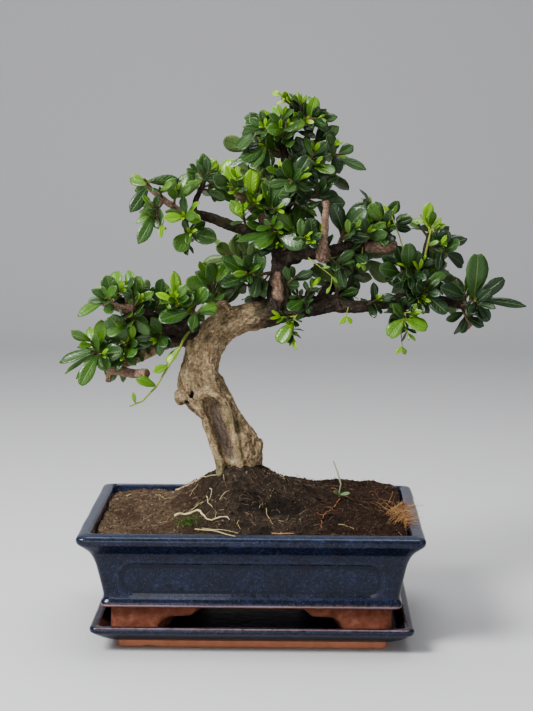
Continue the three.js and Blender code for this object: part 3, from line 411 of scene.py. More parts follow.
def pot_inside(z):
    """Half width of the pot's inside at a height."""
    share = (z - POT["floor"]) / (POT["rim"] - POT["floor"])
    return INSIDE_LOW + share * (POT["half"] - POT["lip"] - INSIDE_LOW)


# Profiles as half width, height and how far each corner is eased
POT_PROFILE = [
    (30, 37.0, 0), (130.6, 37.0, 1.2), (131.7, 41.3, 1.4), (129.5, 43.4, 1.2), (129.2, 48, 2.5),
    (135.2, 77, 14), (139.2, 87, 7), (148.2, 95.3, 3), (150, 97.6, 1.6), (150, 101.6, 1.5),
    (147.6, 103.5, 1.2), (139.7, 105, 1.2), (138.3, 103.2, 1.4), (pot_inside(97), 97, 5),
    (pot_inside(51), 51, 5), (119, 46, 3), (30, 46, 0),
]
TRAY_PROFILE = [
    (30, 0, 0), (117.5, 0, 0.8), (117.5, 6.5, 0.7), (122, 7.2, 1.5), (131, 11.6, 4), (138.3, 17.1, 1.5),
    (140, 18.8, 1.0), (140, 22.2, 0.9), (138.8, 23.3, 0.8), (133.2, 22.95, 0.9), (127.8, 14.4, 2),
    (118, 14, 2), (30, 14, 0),
]


def eased(corners, step):
    """Even points along a profile whose corners are rounded by short curves."""
    corners = np.array(corners, dtype=float)
    places = corners[:, :2]
    fine = [places[0]]
    for before, at, after, ease in zip(places, places[1:], places[2:], corners[1:, 2]):
        reach = min(ease, 0.45 * np.linalg.norm(at - before), 0.45 * np.linalg.norm(after - at))
        start = at - unit(at - before) * reach
        end = at + unit(after - at) * reach
        for t in np.linspace(0, 1, 7):
            fine.append((1 - t) ** 2 * start + 2 * t * (1 - t) * at + t * t * end)
    fine = np.array([*fine, places[-1]])
    along = np.concatenate([[0], np.cumsum(np.linalg.norm(np.diff(fine, axis=0), axis=1))])
    even = np.linspace(0, along[-1], int(along[-1] / step) + 1)
    return np.column_stack([np.interp(even, along, fine[:, k]) for k in (0, 1)])


def oblong(half_x, half_y, corner, step, reference):
    """A rounded rectangle as points about (0, 0). Reference sizes fix how many points each side gets."""
    counts = [int(2 * size / step) for size in reference] * 2
    shares = np.linspace(0, 1, max(int(corner * math.pi / 2 / step) + 1, 5))
    arcs = []
    for quarter, signs in enumerate([(1, 1), (-1, 1), (-1, -1), (1, -1)]):
        angles = (quarter + shares) * math.pi / 2
        centre = np.multiply(signs, (half_x - corner, half_y - corner))
        arcs.append(centre + corner * np.column_stack([np.cos(angles), np.sin(angles)]))
    ring = []
    for arc, following, count in zip(arcs, arcs[1:] + arcs[:1], counts):
        ring += [arc, np.linspace(arc[-1], following[0], count + 2)[1:-1]]
    return np.concatenate(ring)


def swept_box(profile, centre, size, step):
    """Rings of a profile swept round a rounded rectangle that is narrower one way than the other."""
    rings = []
    for half, z in profile:
        half_y = half - size["half"] + size["deep"]
        ring = oblong(half, half_y, min(size["corner"], half * 0.2), step, (size["half"], size["deep"]))
        rings.append(np.column_stack([ring + centre, np.full(len(ring), z)]))
    return np.concatenate(rings), len(rings), len(rings[0])


pot_profile = eased(POT_PROFILE, 1.7)
tray_profile = eased(TRAY_PROFILE, 1.2)
print("profile points", len(pot_profile), len(tray_profile))

# %% [markdown]
# ## Glaze
#
# The blue glaze is a thick glass over red clay. It is mottled in two blues, full of fine specks, and it
# runs thin over every edge, where brown clay and pale violet show through. Where it stops, bare
# terracotta is left. Three numbers kept on the points say where the glaze is thin, where it has pooled and
# where the clay is bare, and the finish below mixes the looks by them. The pooling number also carries
# painted light on the tops of the lips and painted shade on the tray's flare, and the bare number paints
# the tray's clay slab lighter, as painted light.

# %% Glazed clay
def glaze_finish():
    glaze = Finish("blue_glaze", Coat_Roughness=0.06, Specular_IOR_Level=0.28)
    thin, bare, pooled = (glaze.attribute(name) for name in ("thin", "bare", "pooled"))
    clouds = glaze.noise(26, 4, 0.6, 0.4)
    mottle = glaze.noise(3.4, 4, 0.7, 0.8)
    specks = glaze.noise(1.1, 2, 0.7)
    blue = glaze.ramp(
        clouds * 0.35 + mottle * 0.65, (0.30, (0.002, 0.003, 0.008)), (0.46, (0.006, 0.009, 0.024)),
        (0.57, (0.012, 0.018, 0.046)), (0.70, (0.034, 0.050, 0.105)))
    blue = glaze.mix(blue, (0.006, 0.007, 0.016), specks.rise(0.40, 0.30) * 0.8)
    blue = glaze.mix(blue, (0.13, 0.16, 0.26), specks.rise(0.61, 0.72) * 0.55)
    spots = 1 - glaze.cells(13, glaze.stretched(1.0, 0.8, 1.0)).rise(0.16, 0.24)
    blue = glaze.mix(blue, (0.003, 0.004, 0.010), spots * clouds.rise(0.45, 0.6) * 0.8)
    # Darker where the glaze has pooled, and painted shade on the tray's flare
    blue = glaze.mix(blue, (0.002, 0.003, 0.009), pooled.rise(0.1, 1.0) * 0.85)
    # Lighter just outside the panels, where the glaze is thinner, and painted light on the lip tops and along
    # the tray's rim
    blue = glaze.mix(blue, (0.065, 0.085, 0.135), (0 - pooled).rise(0.1, 1.0) * (0.1 + mottle * 0.6))
    run = (thin + (mottle - 0.5) * 0.9).rise(0.35, 0.95)
    paler = (thin * 1.1 + clouds * 0.4).rise(0.9, 1.3)
    broken = glaze.mix((0.16, 0.085, 0.055), (0.34, 0.28, 0.34), paler)
    glazed = glaze.mix(blue, broken, run * 0.85)
    edge = (bare + (mottle - 0.5) * 0.25).rise(0.42, 0.58)
    orange_peel = glaze.noise(5.5, 3, 0.5)
    sand = glaze.noise(0.7, 3, 0.7)
    relief = glaze.bump(orange_peel * (1 - edge) + sand * edge * 0.5 + specks * 0.12, 0.35)
    roughness = 0.16 + mottle * 0.16 + edge * 0.55 + run * 0.1
    return glaze.set(Base_Color=glaze.mix(glazed, clay_colour(glaze, bare), edge), Roughness=roughness,
                     Normal=relief, Coat_Weight=(1 - edge) * 0.3)


def clay_colour(finish, bare):
    """Red earthenware: soft pinkish brown with darker smudges and pale dust, painted lighter on the tray's
    slab as painted light.
    """
    smudge = finish.noise(9, 4, 0.6)
    dust = finish.noise(1.6, 3, 0.7)
    clay = finish.ramp(smudge, (0.30, (0.16, 0.052, 0.030)), (0.52, (0.25, 0.092, 0.056)),
                       (0.72, (0.36, 0.160, 0.105)))
    clay = finish.mix(clay, (0.50, 0.32, 0.24), dust.rise(0.58, 0.78) * 0.5)
    # Painted light: where the mark reaches 2, on the tray's slab, the clay is painted lighter and more orange
    return finish.mix(clay, (0.72, 0.32, 0.19), bare.rise(1.2, 2.0) * (0.6 + smudge * 0.4))


blue_glaze = glaze_finish()
print(blue_glaze.name, len(blue_glaze.node_tree.nodes), "nodes")

# %% [markdown]
# ## Pot body
#
# The wall carries a shallow sunk panel with round ends on each of its four sides. It is pressed in by a
# formula: the distance to the panel's outline, turned into a soft step. The same distance marks where the
# glaze runs thin over the panel's edge.

# %% Pot body, panels and drain holes
def box_distance(u, v, half_u, half_v, corner):
    """Distance to a rounded oblong's outline, negative inside it."""
    du = np.abs(u) - (half_u - corner)
    dv = np.abs(v) - (half_v - corner)
    outside = np.hypot(np.maximum(du, 0), np.maximum(dv, 0))
    return outside + np.minimum(np.maximum(du, dv), 0) - corner


def panel_distance(points):
    """Distance to the outline of the panel on the side that each point lies on."""
    x, y = points[:, 0] - POT["x"], points[:, 1] - POT["y"]
    narrower = POT["half"] - POT["deep"]
    middle = (PANEL["low"] + PANEL["high"]) / 2
    tall = (PANEL["high"] - PANEL["low"]) / 2
    on_long = np.abs(y) + narrower > np.abs(x)
    along = np.where(on_long, x, y)
    half = PANEL["face"] - PANEL["inset"] - np.where(on_long, 0, narrower)
    return box_distance(along, points[:, 2] - middle, half, tall, tall * PANEL["round"]), on_long


def outer_half(points, centre, size):
    """Half width of the rounded rectangle that each point lies on."""
    x, y = np.abs(points[:, :2] - centre).T
    return np.maximum(x, y + size["half"] - size["deep"])


def near_edges(points, half, edges):
    """How close each point is to one of a profile's outer edges, given as (half, z, width, strength)."""
    away = [np.hypot(half - edge_half, points[:, 2] - edge_z) for edge_half, edge_z, _, _ in edges]
    close = [edge[3] * np.exp(-(gap / edge[2]) ** 2) for gap, edge in zip(away, edges)]
    return np.max(close, axis=0)


def make_pot():
    points, rings, count = swept_box(pot_profile, POT_CENTRE, POT, 2.5)
    piece = make_piece("pot_body", points, skin_faces(rings, count), blue_glaze)
    for side in (-1, 1):
        radius, deep = DRAIN["radius"] * MM, DRAIN["deep"] * MM
        bpy.ops.mesh.primitive_cylinder_add(vertices=DRAIN["sides"], radius=radius, depth=deep)
        hole = bpy.context.object
        hole.location = ((POT["x"] + side * DRAIN["x"]) * MM, POT["y"] * MM, DRAIN["z"] * MM)
        cut_away(piece, hole)
    points = points_of(piece)
    half = outer_half(points, POT_CENTRE, POT)
    distance, on_long = panel_distance(points)
    z = points[:, 2]
    outer = (half > 128.5) & (z > 38)
    inward = -np.sign(points[:, :2] - POT_CENTRE) * np.column_stack([~on_long, on_long])
    press = PANEL["depth"] * soft_step(-distance, -0.9, 0.9) * outer
    wobble = 0.28 * (1 + ripple(points, 30, 3)) * outer
    points[:, :2] += inward * (press + wobble)[:, None]
    move_points(piece, points)
    edges = [(150, 97.6, 1.3, 0.5), (150, 101.6, 0.9, 0.75), (147.6, 103.5, 1.0, 0.45),
             (139.7, 105, 1.2, 0.7), (131.7, 41.3, 1.5, 0.6), (130.6, 37, 2.8, 1.6)]
    thin = np.maximum(near_edges(points, half, edges), 0.42 * np.exp(-(distance / 1.1) ** 2) * outer)
    pooled = 0.8 * np.exp(-((distance + 2.6) / 1.8) ** 2) - 0.55 * np.exp(-((distance - 2.0) / 1.6) ** 2)
    # Painted light: the outer part of the lip's top is painted a lighter blue
    painted_lip_top_light = 0.75 * soft_step(z, 101, 103.5) * (half > 138)
    inside = (z > 45.5) & (z < 90) & (half < 136.5) & (half < pot_inside(z) + 1.2)
    mark(piece, thin=thin, pooled=pooled * outer - painted_lip_top_light, bare=(z < 37.5) | inside)
    finish_piece(piece, "pot_glaze", "pot")


make_pot()

# %% [markdown]
# ## Feet
#
# Four feet stand under the corners. They are one low wall of bare terracotta that follows the pot's
# outline, with stepped arches cut through its front, back and ends. The wall's lower edge is swept round
# the same rounded rectangle, and its height follows the arch.

# %% Feet
# Rounded section of the wall: share of the way inwards, and height over the arch. None is the top
FOOT_SECTION = [(0.012, None), (0.0, 2.2), (0.02, 0.7), (0.09, 0.0), (0.91, 0.0), (0.98, 0.7), (1.0, 2.2),
                (0.99, None)]


def make_feet():
    top = POT["under"] + 2.5
    wall, step = FOOT["wall"], 1.6
    reference = (FOOT["half"], FOOT["deep"])
    outer = oblong(*reference, FOOT["corner"], step, reference)
    inner = oblong(FOOT["half"] - wall, FOOT["deep"] - wall, FOOT["corner"] * 0.4, step, reference)
    shares = [np.linspace(0, 1, len(ring)) for ring in (outer, inner)]
    inner = np.column_stack([np.interp(*shares, inner[:, k]) for k in (0, 1)])
    x, y = np.abs(outer).T
    on_long = y + FOOT["half"] - FOOT["deep"] > x
    rise = np.interp(np.where(on_long, x / FOOT["front"], y / FOOT["side"]), *zip(*ARCH))
    bottom = POT["base"] + rise * (POT["under"] + 0.6 - POT["base"])
    rings = []
    for across, lift in FOOT_SECTION:
        z = np.full(len(outer), top) if lift is None else np.minimum(bottom + lift, top - 0.2)
        rings.append(np.column_stack([outer + (inner - outer) * across + POT_CENTRE, z]))
    points = np.concatenate(rings)
    places = np.arange(len(points)).reshape(len(rings), -1)
    faces = [(a, d, c, b) for low, high in zip(places, np.roll(places, -1, axis=0))
             for a, b, c, d in bridge(low, high)]
    points += ripple(points, 16, 5)[:, None] * 0.12
    points[:, 2] = np.maximum(points[:, 2], POT["base"])
    piece = make_piece("pot_feet", points, faces, blue_glaze)
    none = np.zeros(len(points))
    mark(piece, thin=none, pooled=none, bare=none + 1)
    finish_piece(piece, "pot_glaze", "pot")


make_feet()

# %% [markdown]
# ## Drip tray
#
# The tray is fired from the same clay in the same glaze. Its rim is flat on top and breaks brown along
# both edges, with a lighter band painted along its outer face as painted light. The flare below it is
# painted nearly black as painted shade, and it stands on a slab of bare clay, painted lighter as painted
# light, which has a small old chip at the front.

# %% Drip tray
CHIP = (-91.0, -83.0, 0.0)
CHIP_HIGH, CHIP_REACH = 1.6, 2.6


def make_tray():
    points, rings, count = swept_box(tray_profile, (0, 0), TRAY, 2.4)
    half = outer_half(points, (0, 0), TRAY)
    away = np.linalg.norm((points - CHIP) * (0.5, 1, 1), axis=1)
    points[:, 2] += CHIP_HIGH * np.exp(-(away / CHIP_REACH) ** 2)
    thin = near_edges(points, half, [(140, 18.8, 1.0, 0.5), (140, 22.2, 0.9, 0.8), (138.8, 23.3, 1.0, 0.9),
                                     (133.2, 22.95, 1.4, 0.9), (122, 7.2, 2.5, 0.5)])
    # Painted shade: the flare under the rim is painted nearly black
    pooled = 0.7 * soft_step(-points[:, 2], -18.0, -15.5) * (half > 119)
    # Painted light: a lighter band is painted along the rim's outer face
    pooled -= 0.6 * np.exp(-((points[:, 2] - 20.6) / 0.9) ** 2) * (half > 138)
    wobble = 0.12 * (1 + ripple(points, 24, 9)) * (half > 119) * (half < TRAY["half"] - 0.01)
    points[:, :2] -= np.sign(points[:, :2]) * wobble[:, None]
    points[:, 2] = np.clip(points[:, 2], 0, 23.3)
    piece = make_piece("tray_body", points, skin_faces(rings, count), blue_glaze)
    # Painted light: the slab's bare clay is marked 2, which paints it lighter
    mark(piece, thin=thin, pooled=pooled, bare=2.0 * ((half < 118.2) & (points[:, 2] < 7.0)))
    finish_piece(piece, "tray_glaze", "tray")


make_tray()

# %% [markdown]
# ## Drain screens
#
# A square of black plastic mesh lies over each drain hole and keeps the soil in. Nothing of it shows in
# front, so the plain solids stay and get a finish: dull black plastic, dusty with soil.

# %% Drain screens
def screen_finish():
    plastic = Finish("dusty_plastic", Specular_IOR_Level=0.4)
    dust = plastic.noise(2.5, 4, 0.7)
    colour = plastic.mix((0.012, 0.013, 0.012), (0.10, 0.07, 0.045), dust.rise(0.48, 0.68) * 0.7)
    return plastic.set(Base_Color=colour, Roughness=0.45 + dust * 0.3, Normal=plastic.bump(dust, 0.2))


black_plastic = screen_finish()
for node_name in ("drain_screen_left", "drain_screen_right"):
    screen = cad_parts[node_name]
    screen.data.materials.clear()
    screen.data.materials.append(black_plastic)
print("two drain screens")

# %% [markdown]
# ## Soil
#
# The pot is filled with brown fibrous soil that rises in a mound to the foot of the trunk. Its top is a
# fine grid on the same height formula as the plain model, with clumps of three sizes on it, and the grid's
# border runs down inside the pot to the floor, so that the soil is one closed body.

# %% Soil body
SOIL = {"drop": 4.5, "mound": 42.0, "x": -13.0, "y": 6.0, "spread_x": 64.0, "spread_y": 54.0, "gap": 0.5,
        "corner": 5.5, "below_rim": 7.0}
# The soil dips towards the pot's wall over the last share of its half width
DIP, DIP_FROM = 1.6, 0.96
# A low swell along the right end as x, reach and height, weaker in front of a depth
SWELL = {"x": 95.0, "reach": 50.0, "height": 5.0, "front": -80.0, "weaker": 0.3}
# Small heaps on the mound as centre x and y, reach along x and y, and height
HEAPS = [(-13, -12, 20, 20, 11), (80, 84, 60, 34, 8), (46, 62, 26, 30, 5)]
# Height, size and seed of the clumps
CLUMPS = [(1.3, 16, 11), (0.9, 6, 12), (0.6, 3, 13)]
SOIL_COLUMNS, SOIL_ROWS = 180, 136
# Heights of the rings inside the pot, and how much further in each lies
SOIL_RINGS = [(88.0, 0.0), (52.0, 0.0), (POT["floor"] + 0.4, 3.4)]


def soil_height(x, y):
    spread_x = np.where(x > SOIL["x"], SOIL["spread_x"] * 1.25, SOIL["spread_x"])
    far = np.hypot((x - SOIL["x"]) / spread_x, (y - SOIL["y"]) / SOIL["spread_y"])
    mound = SOIL["mound"] * np.exp(-far ** 2.2)
    swell = SWELL["height"] * np.exp(-((x - SWELL["x"]) / SWELL["reach"]) ** 2)
    swell *= np.where(y > SWELL["front"], 1, SWELL["weaker"])
    wave = 0.9 * np.sin(x / 9 + y / 13) + 0.7 * np.sin(y / 7 - x / 17)
    return POT["rim"] - SOIL["drop"] + mound + swell + wave


def soil_top(x, y):
    """Height of the soil with its clumps."""
    clumps = sum(height * ripple(flat_place(x, y), size, seed) for height, size, seed in CLUMPS)
    for heap_x, heap_y, reach_x, reach_y, height in HEAPS:
        clumps += height * np.exp(-((x - heap_x) / reach_x) ** 2 - ((y - heap_y) / reach_y) ** 2)
    return soil_height(x, y) + clumps - 0.4


def soil_finish():
    earth = Finish("fibrous_soil", Roughness=0.95, Specular_IOR_Level=0.25)
    x = earth.split(earth.place)[0]
    lumps = earth.noise(4.0, 5, 0.7)
    grains = earth.noise(0.9, 3, 0.7)
    wet = earth.noise(34, 3, 0.5)
    threads = earth.noise(2.2, 4, 0.65, 2.5, at=earth.stretched(0.45, 1.0, 1.0))
    shade = lumps * 0.45 + grains * 0.35 + threads * 0.2 + earth.attribute("tone")
    colour = earth.ramp(
        shade, (0.30, (0.008, 0.006, 0.005)), (0.45, (0.030, 0.021, 0.015)), (0.58, (0.085, 0.062, 0.045)),
        (0.70, (0.24, 0.185, 0.130)), (0.82, (0.50, 0.42, 0.31)))
    straw = earth.ramp(
        shade, (0.30, (0.020, 0.013, 0.009)), (0.45, (0.070, 0.047, 0.029)), (0.58, (0.180, 0.125, 0.082)),
        (0.70, (0.36, 0.27, 0.18)), (0.82, (0.60, 0.49, 0.34)))
    red = earth.ramp(shade, (0.30, (0.006, 0.003, 0.002)), (0.48, (0.026, 0.012, 0.008)),
                     (0.62, (0.075, 0.036, 0.021)), (0.80, (0.22, 0.12, 0.070)))
    drift = x + (wet - 0.5) * 0.06
    colour = earth.mix(colour, straw, drift.rise(-0.045, -0.085))
    colour = earth.mix(colour, red, drift.rise(0.015, 0.085) * 0.85)
    patch = (wet + lumps * 0.3).rise(0.60, 0.74) * drift.rise(-0.02, -0.06)
    colour = earth.mix(colour, (0.050, 0.026, 0.015), patch * 0.6)
    dark = (wet + grains * 0.2).rise(0.58, 0.70) * x.rise(-0.06, -0.01) * (1 - x.rise(0.05, 0.10))
    colour = earth.mix(colour, (0.011, 0.008, 0.007), dark * 0.75)
    return earth.set(Base_Color=colour, Normal=earth.bump(lumps * 0.6 + grains * 0.6 + threads * 0.4, 1.8))


def soil_grid(half, deep):
    """A grid over the soil whose corners are drawn in to a rounded rectangle."""
    u, v = np.meshgrid(np.linspace(-half, half, SOIL_COLUMNS), np.linspace(-deep, deep, SOIL_ROWS))
    flat = np.column_stack([u.ravel(), v.ravel()])
    over = np.maximum(np.abs(flat) - (half, deep) + SOIL["corner"], 0)
    both = np.hypot(*over.T)
    shrink = np.where(both > 0, over.max(axis=1) / np.maximum(both, 1e-9), 1)
    return np.sign(flat) * (np.abs(flat) - over * (1 - shrink)[:, None])


def make_soil():
    half = pot_inside(POT["rim"] - SOIL["below_rim"]) - SOIL["gap"]
    deep = half - POT["half"] + POT["deep"]
    flat = soil_grid(half, deep)
    x, y = (flat + POT_CENTRE).T
    border = np.max(np.abs(flat) / (half, deep), axis=1)
    z = soil_top(x, y) - DIP * soft_step(border, DIP_FROM, 1.0)
    points = [np.column_stack([x, y, z])]
    grid = np.arange(len(x)).reshape(SOIL_ROWS, SOIL_COLUMNS)
    quads = np.stack([grid[:-1, :-1], grid[:-1, 1:], grid[1:, 1:], grid[1:, :-1]], axis=-1)
    faces = quads.reshape(-1, 4).tolist()
    above = np.concatenate([grid[0, :-1], grid[:-1, -1], grid[-1, :0:-1], grid[:0:-1, 0]])
    edge = points[0][above, :2] - POT_CENTRE
    start = len(x)
    for z_ring, further in SOIL_RINGS:
        shift = half - (pot_inside(z_ring) - SOIL["gap"] - further)
        ring = edge - np.sign(edge) * np.minimum(shift, np.abs(edge)) + POT_CENTRE
        points.append(np.column_stack([ring, np.full(len(ring), z_ring)]))
        below = start + np.arange(len(ring))
        faces += np.column_stack([np.roll(above, -1), above, below, np.roll(below, -1)]).tolist()
        above = below
        start += len(ring)
    faces.append(above[::-1].tolist())
    piece = make_piece("soil_body", np.concatenate(points), faces, fibrous_soil)
    finish_piece(piece, "soil", "soil")
    return piece


fibrous_soil = soil_finish()
soil_body = make_soil()

# %% [markdown]
# ## Wood
#
# The trunk leans, hollows out in front and bends into one long limb, and every limb and stub grows out of
# it as one piece of wood. The tables list the middle line and the thickness of each, as read from the
# photograph. Smooth stations are put between the listed ones, each line is skinned as a closed tube, and
# a voxel remesh melts all tubes into one body with soft joints, as bark grows over them.

# %% Lines of the wood
# The trunk as x, y, z, half width and half depth
TRUNK = [
    [-14, 5, 118, 16, 15], [-15, 5, 132, 20, 18], [-14.3, 5, 146, 20.7, 18], [-14.5, 5, 158, 21, 17.5],
    [-18.5, 5, 168, 19.5, 17], [-24, 5, 178, 17, 16], [-30, 5, 190, 16, 16], [-37, 5, 201, 18, 16.5],
    [-45, 5, 211, 20.5, 17], [-49.5, 5, 222, 20, 16], [-50, 5, 232, 17.3, 15.5], [-48.5, 5, 242, 16.2, 15],
    [-46, 5, 253, 16.5, 15], [-39, 5, 264, 15.8, 14.5], [-27, 5, 273, 13.8, 13.5],
    [-11, 5, 279, 12.8, 12.8], [6, 4, 283, 12.5, 12.5], [22, 3, 287, 12, 12], [40, 2, 290, 10, 10],
    [58, 0, 292, 8.5, 8.5], [75, 0, 295, 6.8, 6.8],
]
# The long hollow in the front of the trunk, and the bare heartwood inside it
HOLLOW = [
    [-44, -14, 209, 4.5], [-37, -12, 200, 8.6], [-32.5, -11, 186, 8.6], [-27.5, -11, 172, 7.8],
    [-22, -12, 159, 6], [-18.5, -13, 150, 3.6],
]
HEARTWOOD = [
    [-41, 4, 212, 6], [-36, 1.5, 196, 6.2], [-31, 0.8, 178, 6], [-25, -1.5, 162, 5.4], [-20, -4.5, 149, 4.2],
]
# Knobs as centre, radius and stretch
LUMPS = [
    [[-67, 0, 208], 7, [0.9, 1, 1.15]], [[3, 3, 164], 6, [0.8, 1.3, 1]], [[-31, 1, 288], 9, [1.1, 1, 0.9]],
    [[10, 3, 366], 8, [1, 1, 1.1]], [[117, -9, 346], 8.2, [1.1, 0.9, 0.9]], [[151, 2, 330], 6, [0.9, 1, 1.3]],
    [[131, 0, 291], 5.5, [1, 1, 1]],
]
# Limbs, branches, stubs and roots as points of x, y, z and radius
STEMS = {
    "left_strand": [[-68, -3, 211, 6], [-58, -9, 206, 4.6], [-50, -12, 200, 4.1], [-46.5, -12.5, 193, 3],
        [-43, -13, 185, 4], [-41, -13.5, 177, 2.9], [-37.5, -13, 168, 3.9], [-35.5, -13, 160, 3],
        [-32, -12.5, 152, 4.3], [-30.5, -12, 142, 4.2], [-30, -9, 130, 4.4], [-31, -8, 120, 3]],
    "right_lip": [[-43, -10, 214, 3.2], [-30, -10, 208, 3.6], [-22.5, -9.5, 194, 3.4],
        [-18.5, -10.5, 174, 3.4], [-13.5, -11.5, 158, 3.6], [-12, -12, 142, 4]],
    "right_limb": [[62, 0, 295, 7.5], [81, 0, 291, 6.2], [98, 0, 291, 5.4], [117, 3, 294, 5.2],
        [134, 5, 298, 5.6], [151, 8, 296, 5.3], [168, 7, 296, 4.6], [188, 3, 292, 4]],
    "right_end_stub": [[184, 4, 295, 4], [191, 2, 284, 3.8], [191, 1, 277, 4.6], [185, 0, 272, 4.2]],
    "upright": [[18, 3, 282, 11.5], [21, -2, 299, 10.8], [22, -3, 315, 10], [23, -3, 330, 8.6],
        [20, -1, 345, 7.2], [14, 3, 358, 6.6], [10, 5, 368, 6]],
    "scar_knob": [[24, -4, 324, 4.4], [20, -9.5, 319, 4.6], [18, -11, 314, 5.2], [21, -11.5, 309, 4.4],
        [19, -11, 304, 5], [23, -9, 299, 4.4], [24, -3, 294, 3]],
    "stub_up_left": [[12, 4, 364, 5.5], [3, 1, 374, 5], [-9, -4, 385, 4.5], [-21, -8, 397, 3.7]],
    "upper_stem": [[19, 0, 344, 6.4], [23, 4, 364, 5.4], [26, 5, 385, 4.9], [26, 5, 406, 4.3],
        [26, 4, 421, 3.9], [24, 2, 433, 3.1], [18, 0, 442, 2.6]],
    "arm_stub": [[26, 5, 414, 3.6], [33, 4, 427, 3.4], [41, 2, 434, 3.6], [47, 0, 439, 4.3]],
    "side_stub": [[43, 1, 435, 2.8], [48, 0, 447, 3], [50, 0, 456, 3], [51, 0, 464, 2.4]],
    "top_stub": [[25, 3, 428, 3.2], [31, 2, 442, 3], [33, 0, 458, 3.3], [32, 0, 475, 2.8]],
    "right_upper": [[22, -2, 333, 8.4], [38, -8, 340, 7.6], [52, -14, 341, 7], [66, -16, 341, 6.4],
        [81, -11, 345, 5.2], [96, -7, 344, 4.8], [106, -4, 351, 4.4], [110, -1, 361, 4], [112, 0, 372, 3.6]],
    "tall_stub": [[61, -17, 336, 6.8], [60, -23, 341, 6], [60.2, -29, 351, 4], [61.6, -32, 362, 3.2],
        [61, -33, 371, 3.5], [62.4, -34, 380, 3], [62, -34, 387, 3.4]],
    "burr_neck": [[98, -7, 344, 4.6], [107, -8, 345, 5.4], [116, -9, 346, 6]],
    "right_stem": [[148, 8, 296, 4.2], [150, 6, 312, 3.4], [151, 2, 328, 4], [152, -2, 344, 2.8],
        [154, -5, 358, 2.1]],
    "left_upper": [[14, 5, 352, 6], [1, 5, 356, 5.2], [-17, 1, 361, 5], [-36, -9, 369, 4.5],
        [-50, -15, 373, 4.2], [-63, -18, 371, 3.4]],
    "top_left_stem": [[-60, -17, 371, 3.4], [-71, -20, 380, 3.2], [-81, -22, 387, 2.9], [-94, -25, 398, 2.4]],
    "top_left_low": [[-62, -18, 372, 3.2], [-61, -16, 364, 2.7], [-60, -16, 357, 2.4]],
    "top_left_up": [[-56, -16, 372, 3], [-52, -10, 387, 2.6], [-46, -6, 401, 2.2]],
    "left_lower": [[-46, 4, 262, 11], [-60, 2, 269, 7.8], [-73, -2, 271, 6.6], [-82, -6, 272, 6.2],
        [-89, -11, 279, 5.8], [-100, -16, 287, 5.2], [-116, -21, 290, 4.4], [-127, -25, 293, 3.5],
        [-142, -30, 299, 2.8]],
    "left_back": [[-52, 8, 259, 8.5], [-67, 12, 259, 7], [-83, 15, 255, 6.3], [-103, 17, 244, 5.4],
        [-118, 12, 238, 5], [-132, 5, 233, 4.8]],
    "left_front_stub": [[-131, 4, 233, 4.8], [-121, -6, 232, 4.5], [-108, -14, 231, 4.2],
        [-95, -25, 233, 4.2]],
    "left_down_stub": [[-131, 4, 234, 3.6], [-132, 1, 227, 3], [-133, -1, 221, 2.4]],
    "left_tip_stem": [[-131, 5, 234, 4], [-139, -4, 241, 3.2], [-145, -14, 248, 2.6]],
    "left_mid_stem": [[-117, 12, 238, 4.2], [-119, 2, 245, 3.8], [-117, -9, 252, 3.8]],
    "inner_stub": [[-63, 1, 270, 5.2], [-60, -7, 283, 4.4], [-58, -11, 296, 3.6]],
    "back_low": [[4, 8, 284, 7.5], [1, 27, 299, 5.6], [-6, 48, 312, 4.5], [-14, 66, 322, 3.2]],
    "back_right": [[58, 2, 294, 6], [66, 22, 305, 4.8], [78, 42, 314, 3.8], [88, 58, 322, 2.7]],
    "back_upper": [[22, 5, 358, 5], [14, 24, 368, 4.2], [4, 42, 378, 3.2], [-2, 54, 386, 2.4]],
    "back_crown": [[25, 6, 384, 4.2], [34, 22, 392, 3.6], [42, 38, 402, 2.6]],
    "back_top": [[25, 6, 402, 4], [12, 26, 412, 2.9], [4, 40, 424, 2.1]],
    "back_left": [[-82, 16, 255, 5], [-88, 32, 264, 4], [-98, 48, 272, 3]],
    "back_far_right": [[135, 6, 298, 4.4], [141, 22, 306, 3.5], [150, 38, 312, 2.7]],
    "root_left": [[-26, 0, 134, 10], [-48, -6, 118, 7], [-74, -16, 100, 4.5], [-100, -24, 84, 2.4]],
    "root_right": [[-4, 2, 134, 10], [20, -6, 116, 6.5], [50, -14, 96, 4], [80, -20, 80, 2.2]],
    "root_back": [[-10, 12, 132, 9], [2, 36, 112, 6], [12, 60, 92, 3.6], [20, 80, 76, 2.2]],
}

# %% Fine wood
SIDES = 22
TRUNK_SIDES = 48
LUMP_RINGS, LUMP_SIDES = 9, 16
STATION_STEP = 3.0
VOXEL = 1.08
# A direction along which no limb runs, from which angles round a limb are counted
ASIDE = np.array([0.31, 0.17, 0.93])


def smooth_line(stations, step=STATION_STEP):
    """Even stations on a smooth line through the listed ones."""
    stations = np.array(stations, dtype=float)
    padded = np.vstack([2 * stations[0] - stations[1], stations, 2 * stations[-1] - stations[-2]])
    line = []
    for a, b, c, d in zip(padded, padded[1:], padded[2:], padded[3:]):
        count = max(int(np.linalg.norm(c[:3] - b[:3]) / step), 1)
        for t in np.arange(count) / count:
            line.append(0.5 * (2 * b + (c - a) * t + (2 * a - 5 * b + 4 * c - d) * t ** 2
                               + (3 * b - 3 * c + d - a) * t ** 3))
    return np.array([*line, stations[-1]])


def way_at(line, i):
    """From the station before one to the station after it."""
    return line[min(i + 1, len(line) - 1), :3] - line[max(i - 1, 0), :3]


def tube_points(line, sides):
    """Rings round a line of x, y, z and radius, square to its way."""
    side = ASIDE
    angles = circle(sides)
    rings = []
    for i, station in enumerate(line):
        along = unit(way_at(line, i))
        side = square_to(along, side)
        ring = np.outer(np.cos(angles), side) + np.outer(np.sin(angles), np.cross(along, side))
        rings.append(station[:3] + ring * station[3])
    return np.concatenate(rings)


